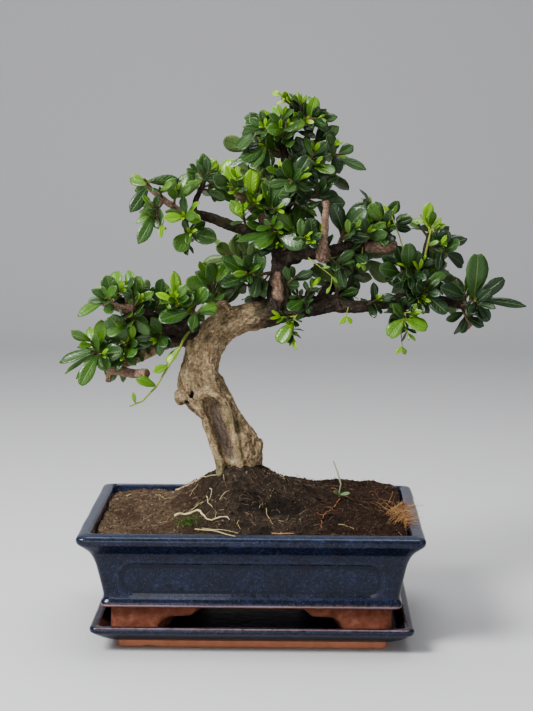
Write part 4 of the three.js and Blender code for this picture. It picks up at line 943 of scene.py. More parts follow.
def trunk_points():
    """The trunk's rings are ovals with shallow flutes, square to its way in the front view."""
    line = smooth_line(TRUNK)
    angles = circle(TRUNK_SIDES)
    rings = []
    for i, (x, y, z, wide, deep) in enumerate(line):
        along = unit(way_at(line, i) * (1, 0, 1))
        flute = 1 + 0.045 * np.sin(5 * angles + z / 19) + 0.03 * np.sin(3 * angles - z / 11)
        ring = np.outer(np.cos(angles) * flute * wide, (along[2], 0, -along[0]))
        ring[:, 1] += np.sin(angles) * flute * deep
        rings.append(ring + (x, y, z))
    return np.concatenate(rings), len(line)


def lump_points(centre, radius, stretch):
    """A ball of rings that is stretched along each axis."""
    turn = circle(LUMP_SIDES)
    rings = []
    for angle in np.arange(1, LUMP_RINGS + 1) / (LUMP_RINGS + 1) * math.pi:
        rings.append(np.column_stack([np.sin(angle) * np.cos(turn), np.sin(angle) * np.sin(turn),
                                      np.full(LUMP_SIDES, -np.cos(angle))]))
    return centre + np.concatenate(rings) * radius * stretch


def wood_bodies():
    """Every closed body of the wood but the trunk, as one list of points and faces."""
    lines = [smooth_line(stations) for stations in (*STEMS.values(), HEARTWOOD)]
    bodies = [(tube_points(line, SIDES), SIDES) for line in lines]
    bodies += [(lump_points(*lump), LUMP_SIDES) for lump in LUMPS]
    points, faces, start = [], [], 0
    for body, count in bodies:
        points.append(body)
        faces += skin_faces(len(body) // count, count, start)
        start += len(body)
    return np.concatenate(points), faces


def make_raw_wood():
    points, rings = trunk_points()
    trunk = make_piece("raw_trunk", points, skin_faces(rings, TRUNK_SIDES))
    line = smooth_line(HOLLOW)
    cut_away(trunk, make_piece("raw_hollow", tube_points(line, SIDES), skin_faces(len(line), SIDES)))
    points, faces = wood_bodies()
    start = len(trunk.data.vertices)
    both = np.concatenate([points_of(trunk), points])
    faces = [[*face.vertices] for face in trunk.data.polygons] + [[start + i for i in face] for face in faces]
    bpy.data.objects.remove(trunk)
    wood = make_piece("tree_body", both, faces)
    add_modifier(wood, "REMESH", mode="VOXEL", voxel_size=VOXEL * MM, use_smooth_shade=True)
    add_modifier(wood, "SMOOTH", factor=0.5, iterations=4)
    settle(wood)
    print("wood after the remesh", len(wood.data.polygons), "faces")
    return wood


tree_body = make_raw_wood()

# %% [markdown]
# ## Where each point of the wood belongs
#
# Bark runs along a limb, heartwood is bare only in the hollow, and a stub shows its cut end. So each point
# looks up the nearest line: how far along it lies, how thick the wood is there, and which way the grain
# goes. These numbers are kept on the points for the bark's relief and colour.

# %% Grain, girth and marks
LOOKUP_STEP = 7.0
WARM = ("tall_stub", "burr_neck", "scar_knob", "arm_stub", "left_front_stub", "right_end_stub",
        "top_left_stem", "stub_up_left")
PALE = ("left_strand", "right_lip", "root_left", "root_right", "root_back")
# The left limb is pale beyond this x
PALE_END = -108.0
# Bark is dark to the right of the trunk and high up, with soft steps over x and z
DARK_X, DARK_Z = (-38, 34), (235, 268)
HEART_REACH = 0.9
CUT_REACH = 0.9
# Small holes beside the knob and under it, dented in and painted near black as painted shade
HOLES = np.array([(-61, -10, 204), (-57, -12, 212), (-66, -8, 200)])
HOLE_RADIUS = 2.6
GRAIN_STRETCH = 0.62
STRAND_APART = 61.0


def wood_lines():
    """Name, stations of x, y, z and radius for every line of the wood."""
    trunk = [[x, y, z, (wide + deep) / 2] for x, y, z, wide, deep in TRUNK]
    lines = {"trunk": trunk, "heartwood": HEARTWOOD, **STEMS}
    return {name: smooth_line(stations, LOOKUP_STEP) for name, stations in lines.items()}


def wood_segments():
    """Number and name of the line, both ends, three directions, way from the foot, and if it is the last."""
    rows = []
    for number, (name, line) in enumerate(wood_lines().items()):
        side, arc = ASIDE, 0.0
        for start, end in zip(line, line[1:]):
            step = end[:3] - start[:3]
            along = unit(step)
            side = square_to(along, side)
            rows.append([number, name, start, end, along, side, np.cross(along, side), arc, False])
            arc += np.linalg.norm(step)
        rows[-1][-1] = True
    return rows


def look_up(points):
    """For each point the nearest segment of wood, and how far along that segment it lies."""
    rows = wood_segments()
    best = np.full(len(points), 1e9)
    chosen = np.zeros(len(points), dtype=int)
    share = np.zeros(len(points))
    heart = np.zeros(len(points), dtype=bool)
    for index, (_, name, start, end, *_) in enumerate(rows):
        step = end[:3] - start[:3]
        t = np.clip((points - start[:3]) @ step / (step @ step), 0, 1)
        radius = start[3] + (end[3] - start[3]) * t
        away = np.linalg.norm(points - start[:3] - t[:, None] * step, axis=1) - radius
        if name == "heartwood":
            heart |= (away < HEART_REACH) & (points[:, 1] < start[1])
            continue
        nearer = np.abs(away) < best
        best[nearer] = np.abs(away[nearer])
        chosen[nearer] = index
        share[nearer] = t[nearer]
    return [np.array(column)[chosen] for column in zip(*rows)], share, heart


def mark_wood(wood):
    points = points_of(wood)
    columns, share, heart = look_up(points)
    number, names, starts, ends, along, side, up, arc, last = columns
    station = starts + (ends - starts) * share[:, None]
    out = points - station[:, :3]
    length = arc + np.linalg.norm(ends[:, :3] - starts[:, :3], axis=1) * share
    grain = np.column_stack([(out * side).sum(1), (out * up).sum(1),
                             GRAIN_STRETCH * length + STRAND_APART * number]) * MM
    past = ((points - ends[:, :3]) * along).sum(1)
    cut = (np.char.find(names, "stub") >= 0) & last & (past > -CUT_REACH)
    dark = np.where(names == "trunk", soft_step(points[:, 0], *DARK_X), 1.0)
    dark = np.where(np.isin(names, PALE), 0.0, dark) * soft_step(points[:, 2], *DARK_Z)
    warm = np.isin(names, WARM) | ((names == "left_lower") & (points[:, 0] < PALE_END))
    away = np.min([np.linalg.norm((points - place) * (1, 0.5, 0.7), axis=1) for place in HOLES], axis=0)
    # Painted shade: this mark also paints the holes near black in the bark finish
    hole = soft_step(-away, -HOLE_RADIUS, -0.5 * HOLE_RADIUS)
    mark(wood, grain=grain, girth=station[:, 3], cut=cut, heart=heart, dark=dark, warm=warm, hole=hole)


mark_wood(tree_body)

# %% [markdown]
# ## Bark relief
#
# Old bark here is a skin of small flakes and short ridges that run along the wood. A Geometry Nodes recipe
# pushes each point out by noise that is stretched along the grain. Thin twigs get less of it, and the
# bare heartwood only long fine grooves.

# %% Geometry Nodes recipe for bark
class Recipe(Bench):
    """A Geometry Nodes tree with named inputs."""

    def __init__(self, name, **numbers):
        super().__init__(bpy.data.node_groups.new(name, "GeometryNodeTree"))
        self.numbers = numbers
        for way in ("INPUT", "OUTPUT"):
            self.tree.interface.new_socket("Geometry", in_out=way, socket_type="NodeSocketGeometry")
        kinds = {float: "NodeSocketFloat", int: "NodeSocketInt"}
        for word, value in numbers.items():
            kind = kinds.get(type(value), "NodeSocketMaterial")
            self.tree.interface.new_socket(word.replace("_", " "), in_out="INPUT", socket_type=kind)
        self.entry = self.tree.nodes.new("NodeGroupInput")
        self.source = self.input("Geometry")
        self.place = self.node("GeometryNodeInputPosition")

    def input(self, word):
        return Wire(self, self.entry.outputs[word])

    def named(self, name, kind="FLOAT"):
        return self.node("GeometryNodeInputNamedAttribute", {"data_type": kind}, {"Name": name})

    def store(self, geometry, name, value, kind="FLOAT"):
        settings = {"data_type": kind, "domain": "POINT"}
        return self.node("GeometryNodeStoreNamedAttribute", settings, {0: geometry, 2: name, 3: value})

    def above(self, value, limit):
        settings = {"data_type": "FLOAT", "operation": "GREATER_THAN"}
        return self.node("FunctionNodeCompare", settings, {0: value, 1: limit})

    def draw(self, low, high, seed):
        """A random number or vector for each point."""
        kind, first, out = ("FLOAT_VECTOR", 0, 0) if isinstance(low, tuple) else ("FLOAT", 2, 1)
        inputs = {first: low, first + 1: high, "Seed": seed}
        return self.node("FunctionNodeRandomValue", {"data_type": kind}, inputs, out)

    def shift(self, geometry, offset):
        return self.node("GeometryNodeSetPosition", None, {0: geometry, 3: offset})

    def push(self, geometry, height):
        """Moves points along their normals."""
        return self.shift(geometry, self.vector("SCALE", self.node("GeometryNodeInputNormal"), height))

    def copies(self, thing, inputs):
        """A copy of a thing on each point, as real points and faces."""
        copies = self.node("GeometryNodeInstanceOnPoints", None, {2: thing, **inputs})
        return self.node("GeometryNodeRealizeInstances", None, {0: copies})

    def tubes(self, sides):
        """Round tubes along the lines that the recipe is run on."""
        lines = self.node("GeometryNodeMeshToCurve", None, {0: self.source})
        ring = self.node("GeometryNodeCurvePrimitiveCircle", None, {0: self.input(sides), "Radius": MM})
        inputs = {0: lines, 1: ring, "Scale": self.named("girth"), "Fill Caps": True}
        return self.node("GeometryNodeCurveToMesh", None, inputs)

    def smooth(self, geometry):
        return self.node("GeometryNodeSetShadeSmooth", None, {0: geometry})

    def paint(self, geometry, word):
        return self.node("GeometryNodeSetMaterial", None, {0: geometry, 2: self.input(word)})

    def finish(self, geometry):
        self.feed(self.tree.nodes.new("NodeGroupOutput").inputs["Geometry"], geometry)
        return self

    def cook(self, piece, **changed):
        """Runs the recipe on a piece and keeps the result as its plain mesh."""
        modifier = piece.modifiers.new(self.tree.name, "NODES")
        modifier.node_group = self.tree
        for item in self.tree.interface.items_tree:
            word = item.name.replace(" ", "_")
            if item.in_out == "INPUT" and word in self.numbers:
                modifier[item.identifier] = changed.get(word, self.numbers[word])
        piece.update_tag()
        bpy.context.view_layer.update()
        settle(piece)


def bark_recipe():
    bark = Recipe("bark_relief", Depth=1.7 * MM, Full_girth=9.0)
    grain = bark.named("grain", "FLOAT_VECTOR")
    thick = (bark.named("girth").over(bark.input("Full girth")) ** 0.7).least(1.0).most(0.2)
    ridges = bark.noise(8.0, 3.0, 0.6, at=grain)
    flakes = bark.noise(2.6, 3.0, 0.6, at=grain)
    plates = bark.cells(3.8, bark.vector("ADD", grain, bark.vector("SCALE", bark.place, 0.35)))
    knobs = bark.noise(13.0, 3.0, 0.6)
    rough = (ridges - 0.5) * 0.8 + (flakes - 0.5) * 1.5 - (plates - 0.45) * 0.9 + (knobs - 0.5) * 1.5
    long_grain = bark.vector("MULTIPLY", grain, (1.0, 1.0, 0.25))
    grooves = (bark.noise(1.6, 2.0, 0.6, at=long_grain) - 0.5) * 0.35
    heart, cut, hole = (bark.named(name) for name in ("heart", "cut", "hole"))
    height = rough * (1 - heart) * (1 - cut * 0.6) + grooves * heart - hole * 1.2
    kept = bark.store(bark.source, "relief", height)
    return bark.finish(bark.push(kept, height * thick * bark.input("Depth")))


bark_recipe().cook(tree_body)
print("bark relief cooked on", len(tree_body.data.vertices), "points")

# %% [markdown]
# ## Bark, heartwood and cut ends
#
# The trunk is pale tan, mottled with brown, with a little green where moss starts, and its crevices are
# painted darker and its ridges lighter, as painted shade and light. Upwards and to the right the bark gets
# darker and greyer. Inside the hollow the wood is bare, grey and smooth, with a chalky end low down. Cut
# stubs show reddish wood. Small holes are painted near black, as painted shade.

# %% Bark finish
def bark_finish():
    bark = Finish("tan_bark", Specular_IOR_Level=0.3)
    grain = bark.attribute("grain", out=1)
    names = ("dark", "warm", "heart", "cut", "relief", "hole")
    dark, warm, heart, cut, relief, hole = map(bark.attribute, names)
    flakes = bark.noise(2.0, 5, 0.72, 0.6, at=grain)
    specks = bark.noise(1.7, 4, 0.8)
    pits = bark.noise(3.2, 4, 0.7)
    patches = bark.noise(24, 3, 0.5)
    # Painted light and shade: the relief height paints ridges lighter and crevices darker
    bark_pattern_and_painted_relief_shade = flakes * 0.26 + specks * 0.52 + pits * 0.16 + relief * 0.16 + 0.045
    pale = bark.ramp(bark_pattern_and_painted_relief_shade, (0.34, (0.075, 0.053, 0.033)), (0.44, (0.255, 0.182, 0.105)),
                     (0.53, (0.49, 0.365, 0.220)), (0.64, (0.90, 0.72, 0.48)))
    grey = bark.ramp(bark_pattern_and_painted_relief_shade, (0.28, (0.009, 0.007, 0.005)), (0.46, (0.042, 0.031, 0.023)),
                     (0.62, (0.12, 0.092, 0.068)), (0.78, (0.25, 0.20, 0.15)))
    red = bark.ramp(flakes * 0.5 + specks * 0.25 + pits * 0.25, (0.36, (0.085, 0.050, 0.037)),
                    (0.48, (0.34, 0.210, 0.150)), (0.62, (0.74, 0.55, 0.42)))
    shade = (dark + (patches - 0.5) * 0.6).rise(0.34, 0.85)
    colour = bark.mix(pale, grey, shade)
    colour = bark.mix(colour, red, warm * (0.55 + patches * 0.6))
    height = bark.split(bark.place)[2]
    green = (patches + flakes * 0.3).rise(0.68, 0.82) * 0.35
    colour = bark.mix(colour, (0.12, 0.13, 0.045), green)
    lichen = (specks * 0.8 + patches * 0.4 - (height - 0.146) * 24).rise(0.60, 0.74) * (1 - dark)
    colour = bark.mix(colour, (0.34, 0.37, 0.20), lichen * 0.5)
    threads = bark.noise(2.0, 3, 0.6, at=bark.vector("MULTIPLY", grain, (1.0, 1.0, 0.2)))
    wood = bark.ramp(threads * 0.7 + specks * 0.3, (0.34, (0.085, 0.062, 0.048)),
                     (0.52, (0.25, 0.185, 0.145)), (0.68, (0.48, 0.39, 0.32)))
    low = (patches * 0.3 + specks * 0.5 - (height - 0.152) * 50).rise(0.2, 0.5)
    wood = bark.mix(wood, (0.52, 0.56, 0.42), low * 0.8)
    colour = bark.mix(colour, wood, heart)
    colour = bark.mix(colour, (0.25, 0.145, 0.085), cut * (0.3 + specks * 0.8))
    # Painted shade: the holes are painted near black
    colour = bark.mix(colour, (0.012, 0.008, 0.006), hole * 0.95)
    bumps = bark.bump(flakes * 0.45 + specks * 0.9 + pits * 0.5, 3.4)
    return bark.set(Base_Color=colour, Roughness=0.9 - heart * 0.3, Normal=bumps)


tree_body.data.materials.append(bark_finish())
finish_piece(tree_body, "bark", "tree_wood")

# %% [markdown]
# ## Where the leaves stand
#
# Leaves of this tree stand in small rosettes at the ends of short twigs. The plain model places them by a
# rule: each new leaf tries several directions round its twig and takes the one with the most room. The
# same rule and the same draws are used here, so that every fine leaf lies where its plain one does. The
# twigs then get more and smaller leaves by the same rule, until the crown is as dense as the real one.

# %% Shoots
# Each shoot: the twig's ends, leaves by rule and their length, seed, and leaves placed one by one
SHOOTS = {
    "left_tip": [[-144, -12, 247], [-140, -20, 254], 0, 24, 1, [
        [[-140, -18, 255], [-174, -26, 245], 11, 10], [[-142, -14, 252], [-171, -16, 232], 8, 30],
        [[-139, -22, 249], [-154, -38, 224], 13, -25], [[-148, -18, 248], [-156, -30, 228], 7, -60],
        [[-139, -20, 257], [-135, -30, 281], 13, 5], [[-144, -12, 257], [-157, -4, 262], 11, 0],
        [[-137, -22, 249], [-117, -34, 254], 16, 20], [[-140, -20, 252], [-129, -34, 237], 14, 20]]],
    "left_mid": [[-117, -8, 252], [-116, -19, 257], 3, 21, 2, [
        [[-114, -20, 258], [-128, -34, 285], 20, -10], [[-111, -17, 255], [-89, -22, 264], 14, 15],
        [[-119, -14, 257], [-133, -10, 270], 13, 0]]],
    "left_end": [[-133, -27, 296], [-127, -28, 304], 6, 20, 3, [
        [[-130, -28, 300], [-155, -41, 287], 10, 0], [[-125, -26, 299], [-131, -30, 320], 14, 15],
        [[-124, -24, 300], [-117, -14, 316], 11, -20], [[-129, -29, 300], [-140, -36, 308], 7, 0]]],
    "left_crown": [[-110, -18, 288], [-104, -21, 296], 7, 22, 4, [
        [[-104, -20, 299], [-103, -27, 320], 14, 10], [[-102, -21, 298], [-90, -28, 306], 8, 20]]],
    "left_under": [[-114, -20, 288], [-112, -24, 279], 1, 22, 5, [
        [[-114, -24, 280], [-130, -36, 268], 15, 10], [[-111, -22, 279], [-94, -28, 280], 11, 0],
        [[-111, -20, 281], [-96, -4, 268], 14, 0]]],
    "left_yellow": [[-84, -7, 274], [-66, -20, 296], 4, 20, 6, [
        [[-66, -22, 298], [-69, -32, 324], 11, 35], [[-73, -20, 297], [-87, -27, 305], 7, 0]]],
    "left_big": [[-60, -8, 284], [-55, -19, 289], 7, 20, 7, [
        [[-55, -20, 290], [-85, -34, 281], 17, 8], [[-54, -19, 291], [-42, -26, 310], 13, 0]]],
    "left_fill": [[-74, -3, 272], [-80, 12, 288], 9, 24, 8, []],
    "left_behind": [[-126, -23, 293], [-124, -8, 301], 9, 23, 9, []],
    "left_lower_behind": [[-122, 10, 238], [-134, 20, 250], 9, 24, 10, []],
    "back_left_tuft": [[-97, 46, 271], [-108, 58, 280], 9, 28, 11, []],
    "top_left_end": [[-90, -24, 395], [-97, -29, 405], 6, 19, 12, [
        [[-92, -29, 405], [-66, -26, 404], 10, 40], [[-89, -25, 401], [-111, -20, 406], 11, 0],
        [[-91, -26, 398], [-108, -38, 377], 12, -20], [[-92, -24, 399], [-108, -12, 395], 8, 0]]],
    "top_left_drop": [[-80, -22, 386], [-88, -30, 374], 5, 19, 13, [
        [[-84, -26, 380], [-84, -38, 362], 13, 20], [[-88, -31, 374], [-101, -42, 350], 12, -20],
        [[-88, -30, 375], [-104, -34, 368], 6, 0], [[-85, -26, 380], [-100, -14, 370], 9, 0]]],
    "top_left_up": [[-47, -7, 399], [-46, -8, 406], 1, 17, 14, [
        [[-47, -9, 404], [-70, -22, 391], 13, 0], [[-46, -8, 406], [-46, -14, 426], 12, 15],
        [[-45, -7, 403], [-31, -2, 405], 8, 0], [[-47, -6, 404], [-58, 8, 416], 8, 0]]],
    "top_left_pair": [[-60, -16, 360], [-58, -18, 357], 0, 16, 15, [
        [[-59, -18, 358], [-69, -28, 342], 16, -15], [[-58, -18, 358], [-34, -28, 353], 17, 0],
        [[-59, -17, 359], [-44, -10, 367], 10, 0]]],
    "top_left_behind": [[-50, -9, 391], [-46, 8, 400], 9, 24, 17, []],
    "pale_stub": [[-15, -6, 391], [-21, -18, 399], 9, 15, 19, []],
    "centre_bright": [[-2, -1, 378], [-4, -9, 388], 7, 17, 20, [
        [[-5, -8, 388], [-3, -18, 413], 15, 10], [[-2, -6, 386], [-17, -18, 376], 10, 0]]],
    "knob_front": [[11, 0, 370], [14, -12, 380], 4, 21, 21, [
        [[11, -11, 379], [8, -23, 402], 7, 20], [[18, -12, 380], [27, -26, 402], 18, 0],
        [[14, -10, 381], [17, -20, 408], 9, 30]]],
    "knob_low": [[14, 2, 357], [19, -12, 358], 3, 20, 22, [
        [[19, -12, 358], [1, -27, 345], 16, 25], [[21, -12, 356], [43, -28, 347], 18, 20],
        [[13, -10, 360], [-16, -22, 352], 8, 0]]],
    "centre_left": [[18, -2, 322], [-6, -12, 318], 9, 21, 23, [
        [[-7, -12, 318], [-28, -25, 337], 16, 15], [[-7, -12, 316], [-30, -26, 314], 13, 10],
        [[-1, -12, 318], [8, -24, 336], 12, 0]]],
    "upright_front": [[21, -6, 338], [41, -18, 355], 9, 22, 24, []],
    "centre_left_low": [[-31, 1, 293], [-42, -10, 311], 9, 24, 25, []],
    "limb_right_behind": [[70, 5, 296], [76, 18, 307], 9, 24, 26, []],
    "limb_behind": [[-26, 10, 282], [-34, 26, 298], 9, 24, 27, []],
    "limb_round": [[44, -4, 293], [44, -13, 299], 1, 13, 28, [
        [[44, -13, 299], [29, -27, 291], 14, 20]]],
    "limb_hanging": [[38, -6, 284], [33, -13, 277], 0, 13, 29, [
        [[34, -12, 277], [20, -21, 260], 14, 10]]],
    "crown_tip": [[32, 0, 466], [31, -3, 472], 9, 12, 30, []],
    "crown_right": [[33, 0, 452], [45, -6, 461], 9, 20, 31, []],
    "crown_left": [[19, 0, 440], [8, -3, 448], 9, 22, 32, [
        [[8, -3, 448], [-11, -10, 451], 7, 0], [[8, -2, 449], [-5, -7, 463], 9, 0]]],
    "crown_front": [[28, 3, 436], [22, -20, 448], 9, 21, 33, []],
    "upper_left": [[25, 4, 424], [8, -2, 434], 4, 20, 35, [
        [[9, -1, 436], [-14, -14, 421], 14, 10], [[10, -3, 433], [-4, -20, 415], 13, 15],
        [[8, 0, 434], [-29, -4, 412], 6, 0]]],
    "upper_right": [[46, 1, 437], [72, -2, 424], 4, 17, 36, [
        [[73, -3, 424], [97, -12, 414], 9, 15], [[71, -3, 426], [64, -14, 444], 13, 10],
        [[72, 0, 425], [87, 8, 434], 11, 0]]],
    "upper_front": [[26, 2, 398], [34, -28, 407], 9, 24, 37, []],
    "upper_middle": [[26, 3, 412], [52, -20, 418], 9, 23, 38, []],
    "crown_back": [[41, 36, 401], [48, 46, 408], 9, 26, 39, []],
    "top_back": [[5, 38, 422], [0, 48, 430], 9, 24, 40, []],
    "right_middle": [[27, 3, 380], [57, -14, 391], 9, 23, 41, [
        [[52, -9, 388], [36, -24, 399], 15, 0]]],
    "tall_stub_leaves": [[53, -13, 342], [50, -26, 353], 3, 17, 42, [
        [[50, -21, 350], [48, -31, 372], 15, 5]]],
    "right_upper_big": [[72, -14, 343], [79, -17, 360], 9, 23, 43, [
        [[76, -17, 358], [69, -26, 384], 16, 5], [[80, -17, 360], [97, -26, 382], 18, -10],
        [[78, -16, 362], [99, -2, 386], 12, 0]]],
    "right_upper_tip": [[107, -3, 353], [117, -10, 362], 9, 21, 44, [
        [[118, -10, 363], [119, -18, 378], 10, 0]]],
    "right_upper_behind": [[96, -6, 345], [100, 12, 354], 9, 24, 45, []],
    "right_stem_tip": [[154, -4, 353], [155, -6, 365], 9, 15, 46, []],
    "right_stem_side": [[152, -1, 344], [162, 0, 346], 7, 21, 47, [
        [[161, 0, 345], [189, 2, 353], 11, 0]]],
    "right_stem_left": [[150, 4, 316], [134, -14, 328], 9, 23, 48, []],
    "right_limb_front": [[142, 6, 299], [146, -10, 308], 9, 23, 49, [
        [[147, -11, 306], [171, -22, 288], 14, 20]]],
    "right_limb_tip": [[188, 3, 292], [194, -6, 298], 4, 23, 50, [
        [[192, -8, 298], [199, -22, 341], 22, -5], [[189, -6, 298], [165, -20, 312], 14, 0],
        [[196, -6, 298], [222, -14, 317], 14, 30], [[194, -6, 297], [208, -14, 280], 13, 20],
        [[196, -4, 299], [243, -2, 294], 9, 0]]],
    "back_far_right_tuft": [[149, 37, 311], [158, 45, 318], 9, 26, 51, []],
    "back_low_tuft": [[-13, 64, 321], [-20, 74, 330], 10, 28, 52, []],
    "back_right_tuft": [[87, 56, 321], [94, 67, 330], 10, 28, 53, []],
    "back_upper_tuft": [[-2, 53, 385], [-6, 63, 394], 9, 27, 54, []],
    "trio": [[131, -1, 289], [132, -14, 281], 0, 13, 55, [
        [[132, -14, 281], [118, -20, 266], 14, 10], [[133, -14, 281], [154, -20, 275], 14, 0],
        [[132, -14, 282], [124, -24, 296], 11, 0]]],
}
# The long pale shoot in front of the trunk, as points of its stem with a radius, and leaves
HANGING = {
    "stems": [[[-59, -3, 268, 1.4], [-66, -25, 256, 1.1], [-76, -32, 240, 1], [-87, -38, 222, 0.9],
        [-98, -44, 211, 0.8], [-109, -48, 207, 0.7]]],
    "leaves": [[[-67, -25, 255], [-78, -31, 243], 9, 10], [[-77, -32, 241], [-89, -39, 237], 8, 0],
        [[-87, -38, 222], [-102, -46, 232], 11, 20], [[-104, -46, 209], [-106, -48, 219], 4, 0]],
}
# Thin new shoots that stand or hang out of the crown
WHIPS = {
    "stems": [[[134, -6, 326, 0.8], [132, -13, 341, 0.7], [127, -14, 356, 0.6], [120, -14, 374, 0.5]],
        [[47, -18, 336, 0.6], [59, -24, 327, 0.5], [68, -24, 320, 0.45], [67, -24, 311, 0.4]],
        [[131, -13, 281, 0.6], [130, -14, 268, 0.5], [131, -14, 256, 0.5]],
        [[150, -3, 330, 1.1], [153, -8, 348, 1], [156, -8, 362, 0.8]],
        [[95, -14, 345, 0.6], [94, -20, 333, 0.5]], [[83, -9, 291, 0.6], [81, -14, 283, 0.5]]],
    "leaves": [[[120, -14, 374], [113, -16, 382], 5, 0], [[120, -14, 373], [125, -18, 382], 4, 20],
        [[59, -24, 327], [66, -28, 329], 2.6, 0], [[68, -24, 320], [73, -28, 315], 2.8, 20],
        [[67, -24, 311], [63, -26, 305], 2.8, 0], [[131, -14, 256], [134, -16, 250], 5, 0],
        [[131, -14, 256], [126, -17, 251], 4, 0], [[156, -8, 362], [164, -12, 371], 5, 0],
        [[156, -8, 362], [150, -12, 372], 5, 10], [[153, -8, 348], [162, -14, 351], 5, 0],
        [[94, -20, 333], [97, -22, 325], 4, 0], [[94, -20, 334], [90, -22, 327], 4, 0],
        [[81, -14, 283], [76, -16, 277], 5, 0], [[81, -14, 283], [86, -17, 278], 5, 0]],
}
# The weed on the right
WEED = {
    "stems": [[[77, -6, 108, 0.8], [76.5, -6, 121, 0.8], [78, -6, 130, 0.8], [74.5, -5, 142, 0.7],
        [71, -5, 151, 0.6]]],
    "leaves": [[[78, -6, 121], [86, -10, 123], 3.6, 0], [[78, -6, 120], [72, -12, 125], 3.2, 0],
        [[77, -6, 112], [70, -9, 111], 3, 0]],
}

# %% Rule for the leaves
LEAF = {"arch": 0.10, "room": 3.0, "tries": 16, "front": 12.0, "up": 0.55, "lift": 0.28, "reach": 60.0}
FIRST_LEAF, LAST_LEAF = 0.42, 0.93
# Places along a leaf that stand for it when room is measured, and their radius as a share of its width
ROOM_SHARES = np.array([0.2, 0.45, 0.7, 0.95])
ROOM_RADIUS = 0.3
FORK = {"leaves": 7, "share": 0.6, "turn": 0.9, "down": 0.4, "rise": 0.12, "length": 16.0}
TWIG_RADII, FORK_RADII = (1.6, 1.3), (1.2, 1.0)


def draws(seed):
    """Repeatable draws between 0 and 1."""
    state = seed * 7919 + 13
    while True:
        state = (state * 16807) % 2147483647
        yield state / 2147483647


def light_at(place):
    """Leaves turn their faces up and out of the crown, to the front or to the back."""
    outward = -1.0 if place[1] < LEAF["front"] else 1.0
    return unit(np.array([(place[0] - SOIL["x"]) * 0.002, outward, LEAF["up"]]))


def leaf_frame(base, tip, roll):
    """Along, across and upper-face directions of a leaf, and its length."""
    length = np.linalg.norm(tip - base)
    along = (tip - base) / length
    face = square_to(along, light_at(base))
    face = swing(face, np.cross(along, face), math.radians(roll))
    return along, np.cross(along, face), face, length


def leaf_points(leaf):
    """Points that stand for a leaf when room is measured."""
    base, tip, _, roll = leaf
    along, _, face, length = leaf_frame(base, tip, roll)
    arch = LEAF["arch"] * length * ROOM_SHARES ** 2
    return base + np.outer(ROOM_SHARES * length, along) - np.outer(arch, face)


def twig_lines(root, end, count, seed):
    """A twig as lines of start, end, radius and end radius. It forks to the right or the left."""
    start, stop = np.array(root, dtype=float), np.array(end, dtype=float)
    lines = [(start, stop, *TWIG_RADII)]
    if count >= FORK["leaves"]:
        along = stop - start
        side = unit(np.array([along[2], -FORK["down"] * np.linalg.norm(along), -along[0]]))
        turn = FORK["turn"] if seed % 2 else -FORK["turn"]
        aim = unit(unit(along) + side * turn + (0, 0, FORK["rise"]))
        fork = start + along * FORK["share"]
        lines.append((fork, fork + aim * FORK["length"], *FORK_RADII))
    return lines


class Crown:
    """Keeps the places that are taken, and adds leaves where there is room."""

    def __init__(self):
        self.taken = np.zeros((0, 3))
        self.radii = np.zeros(0)

    def take(self, points, radius):
        self.taken = np.vstack([self.taken, points])
        self.radii = np.concatenate([self.radii, np.broadcast_to(radius, len(points))])

    def take_leaf(self, leaf):
        self.take(leaf_points(leaf), ROOM_RADIUS * leaf[2])

    def room_for(self, leaf, near):
        """Room between a leaf and the taken places that are marked as near."""
        gaps = np.linalg.norm(leaf_points(leaf)[:, None] - self.taken[near], axis=2) - self.radii[near]
        return gaps.min()

    def grow(self, lines, count, length, seed, room):
        """Adds leaves along twigs. Each takes the direction with the most room, if that is enough."""
        draw = draws(seed)
        leaves = []
        for i in range(count):
            start, stop = lines[i % len(lines)][:2]
            along = unit(stop - start)
            side = square_to(along, ASIDE)
            up = np.cross(along, side)
            turn = i // len(lines) + 0.5
            share = FIRST_LEAF + (LAST_LEAF - FIRST_LEAF) * min(turn * len(lines) / count, 1)
            base = start + (stop - start) * share
            # Angle from the twig, length, width, roll and first angle round the twig, a draw for each
            spread = math.radians(88 - 55 * share + 20 * (next(draw) - 0.5))
            size = length * (0.8 + 0.4 * next(draw))
            width = size * (0.52 + 0.12 * next(draw))
            roll = 60 * (next(draw) - 0.5)
            first = next(draw) * 2 * math.pi
            near = ((self.taken - base) ** 2).sum(1) < (size + LEAF["reach"]) ** 2
            tries = []
            for angle in first + circle(LEAF["tries"]):
                aim = unit(swing(along, swing(side, up, angle), spread) + (0, 0, LEAF["lift"]))
                tries.append((base, base + aim * size, width, roll))
            rooms = [self.room_for(leaf, near) for leaf in tries]
            if max(rooms) > room:
                leaves.append(tries[np.argmax(rooms)])
                self.take_leaf(leaves[-1])
        return leaves


def placed(rows):
    """Leaves that are placed one by one, as base, tip, width and roll in degrees."""
    return [(np.array(base, dtype=float), np.array(tip, dtype=float), *rest) for base, tip, *rest in rows]


def by_hand(plant):
    """Twig lines and leaves that are all placed one by one."""
    lines = []
    for stem in plant["stems"]:
        stations = np.array(stem, dtype=float)
        lines += [(a[:3], b[:3], a[3], b[3]) for a, b in zip(stations, stations[1:])]
    return lines, placed(plant["leaves"])


def nearest_on(lines, point):
    """The nearest place on a twig's leafy stretch."""
    places = []
    for start, stop, *_ in lines:
        step = stop - start
        share = min(max((point - start) @ step / (step @ step), FIRST_LEAF), LAST_LEAF)
        places.append(start + step * share)
    return min(places, key=lambda place: np.linalg.norm(place - point))


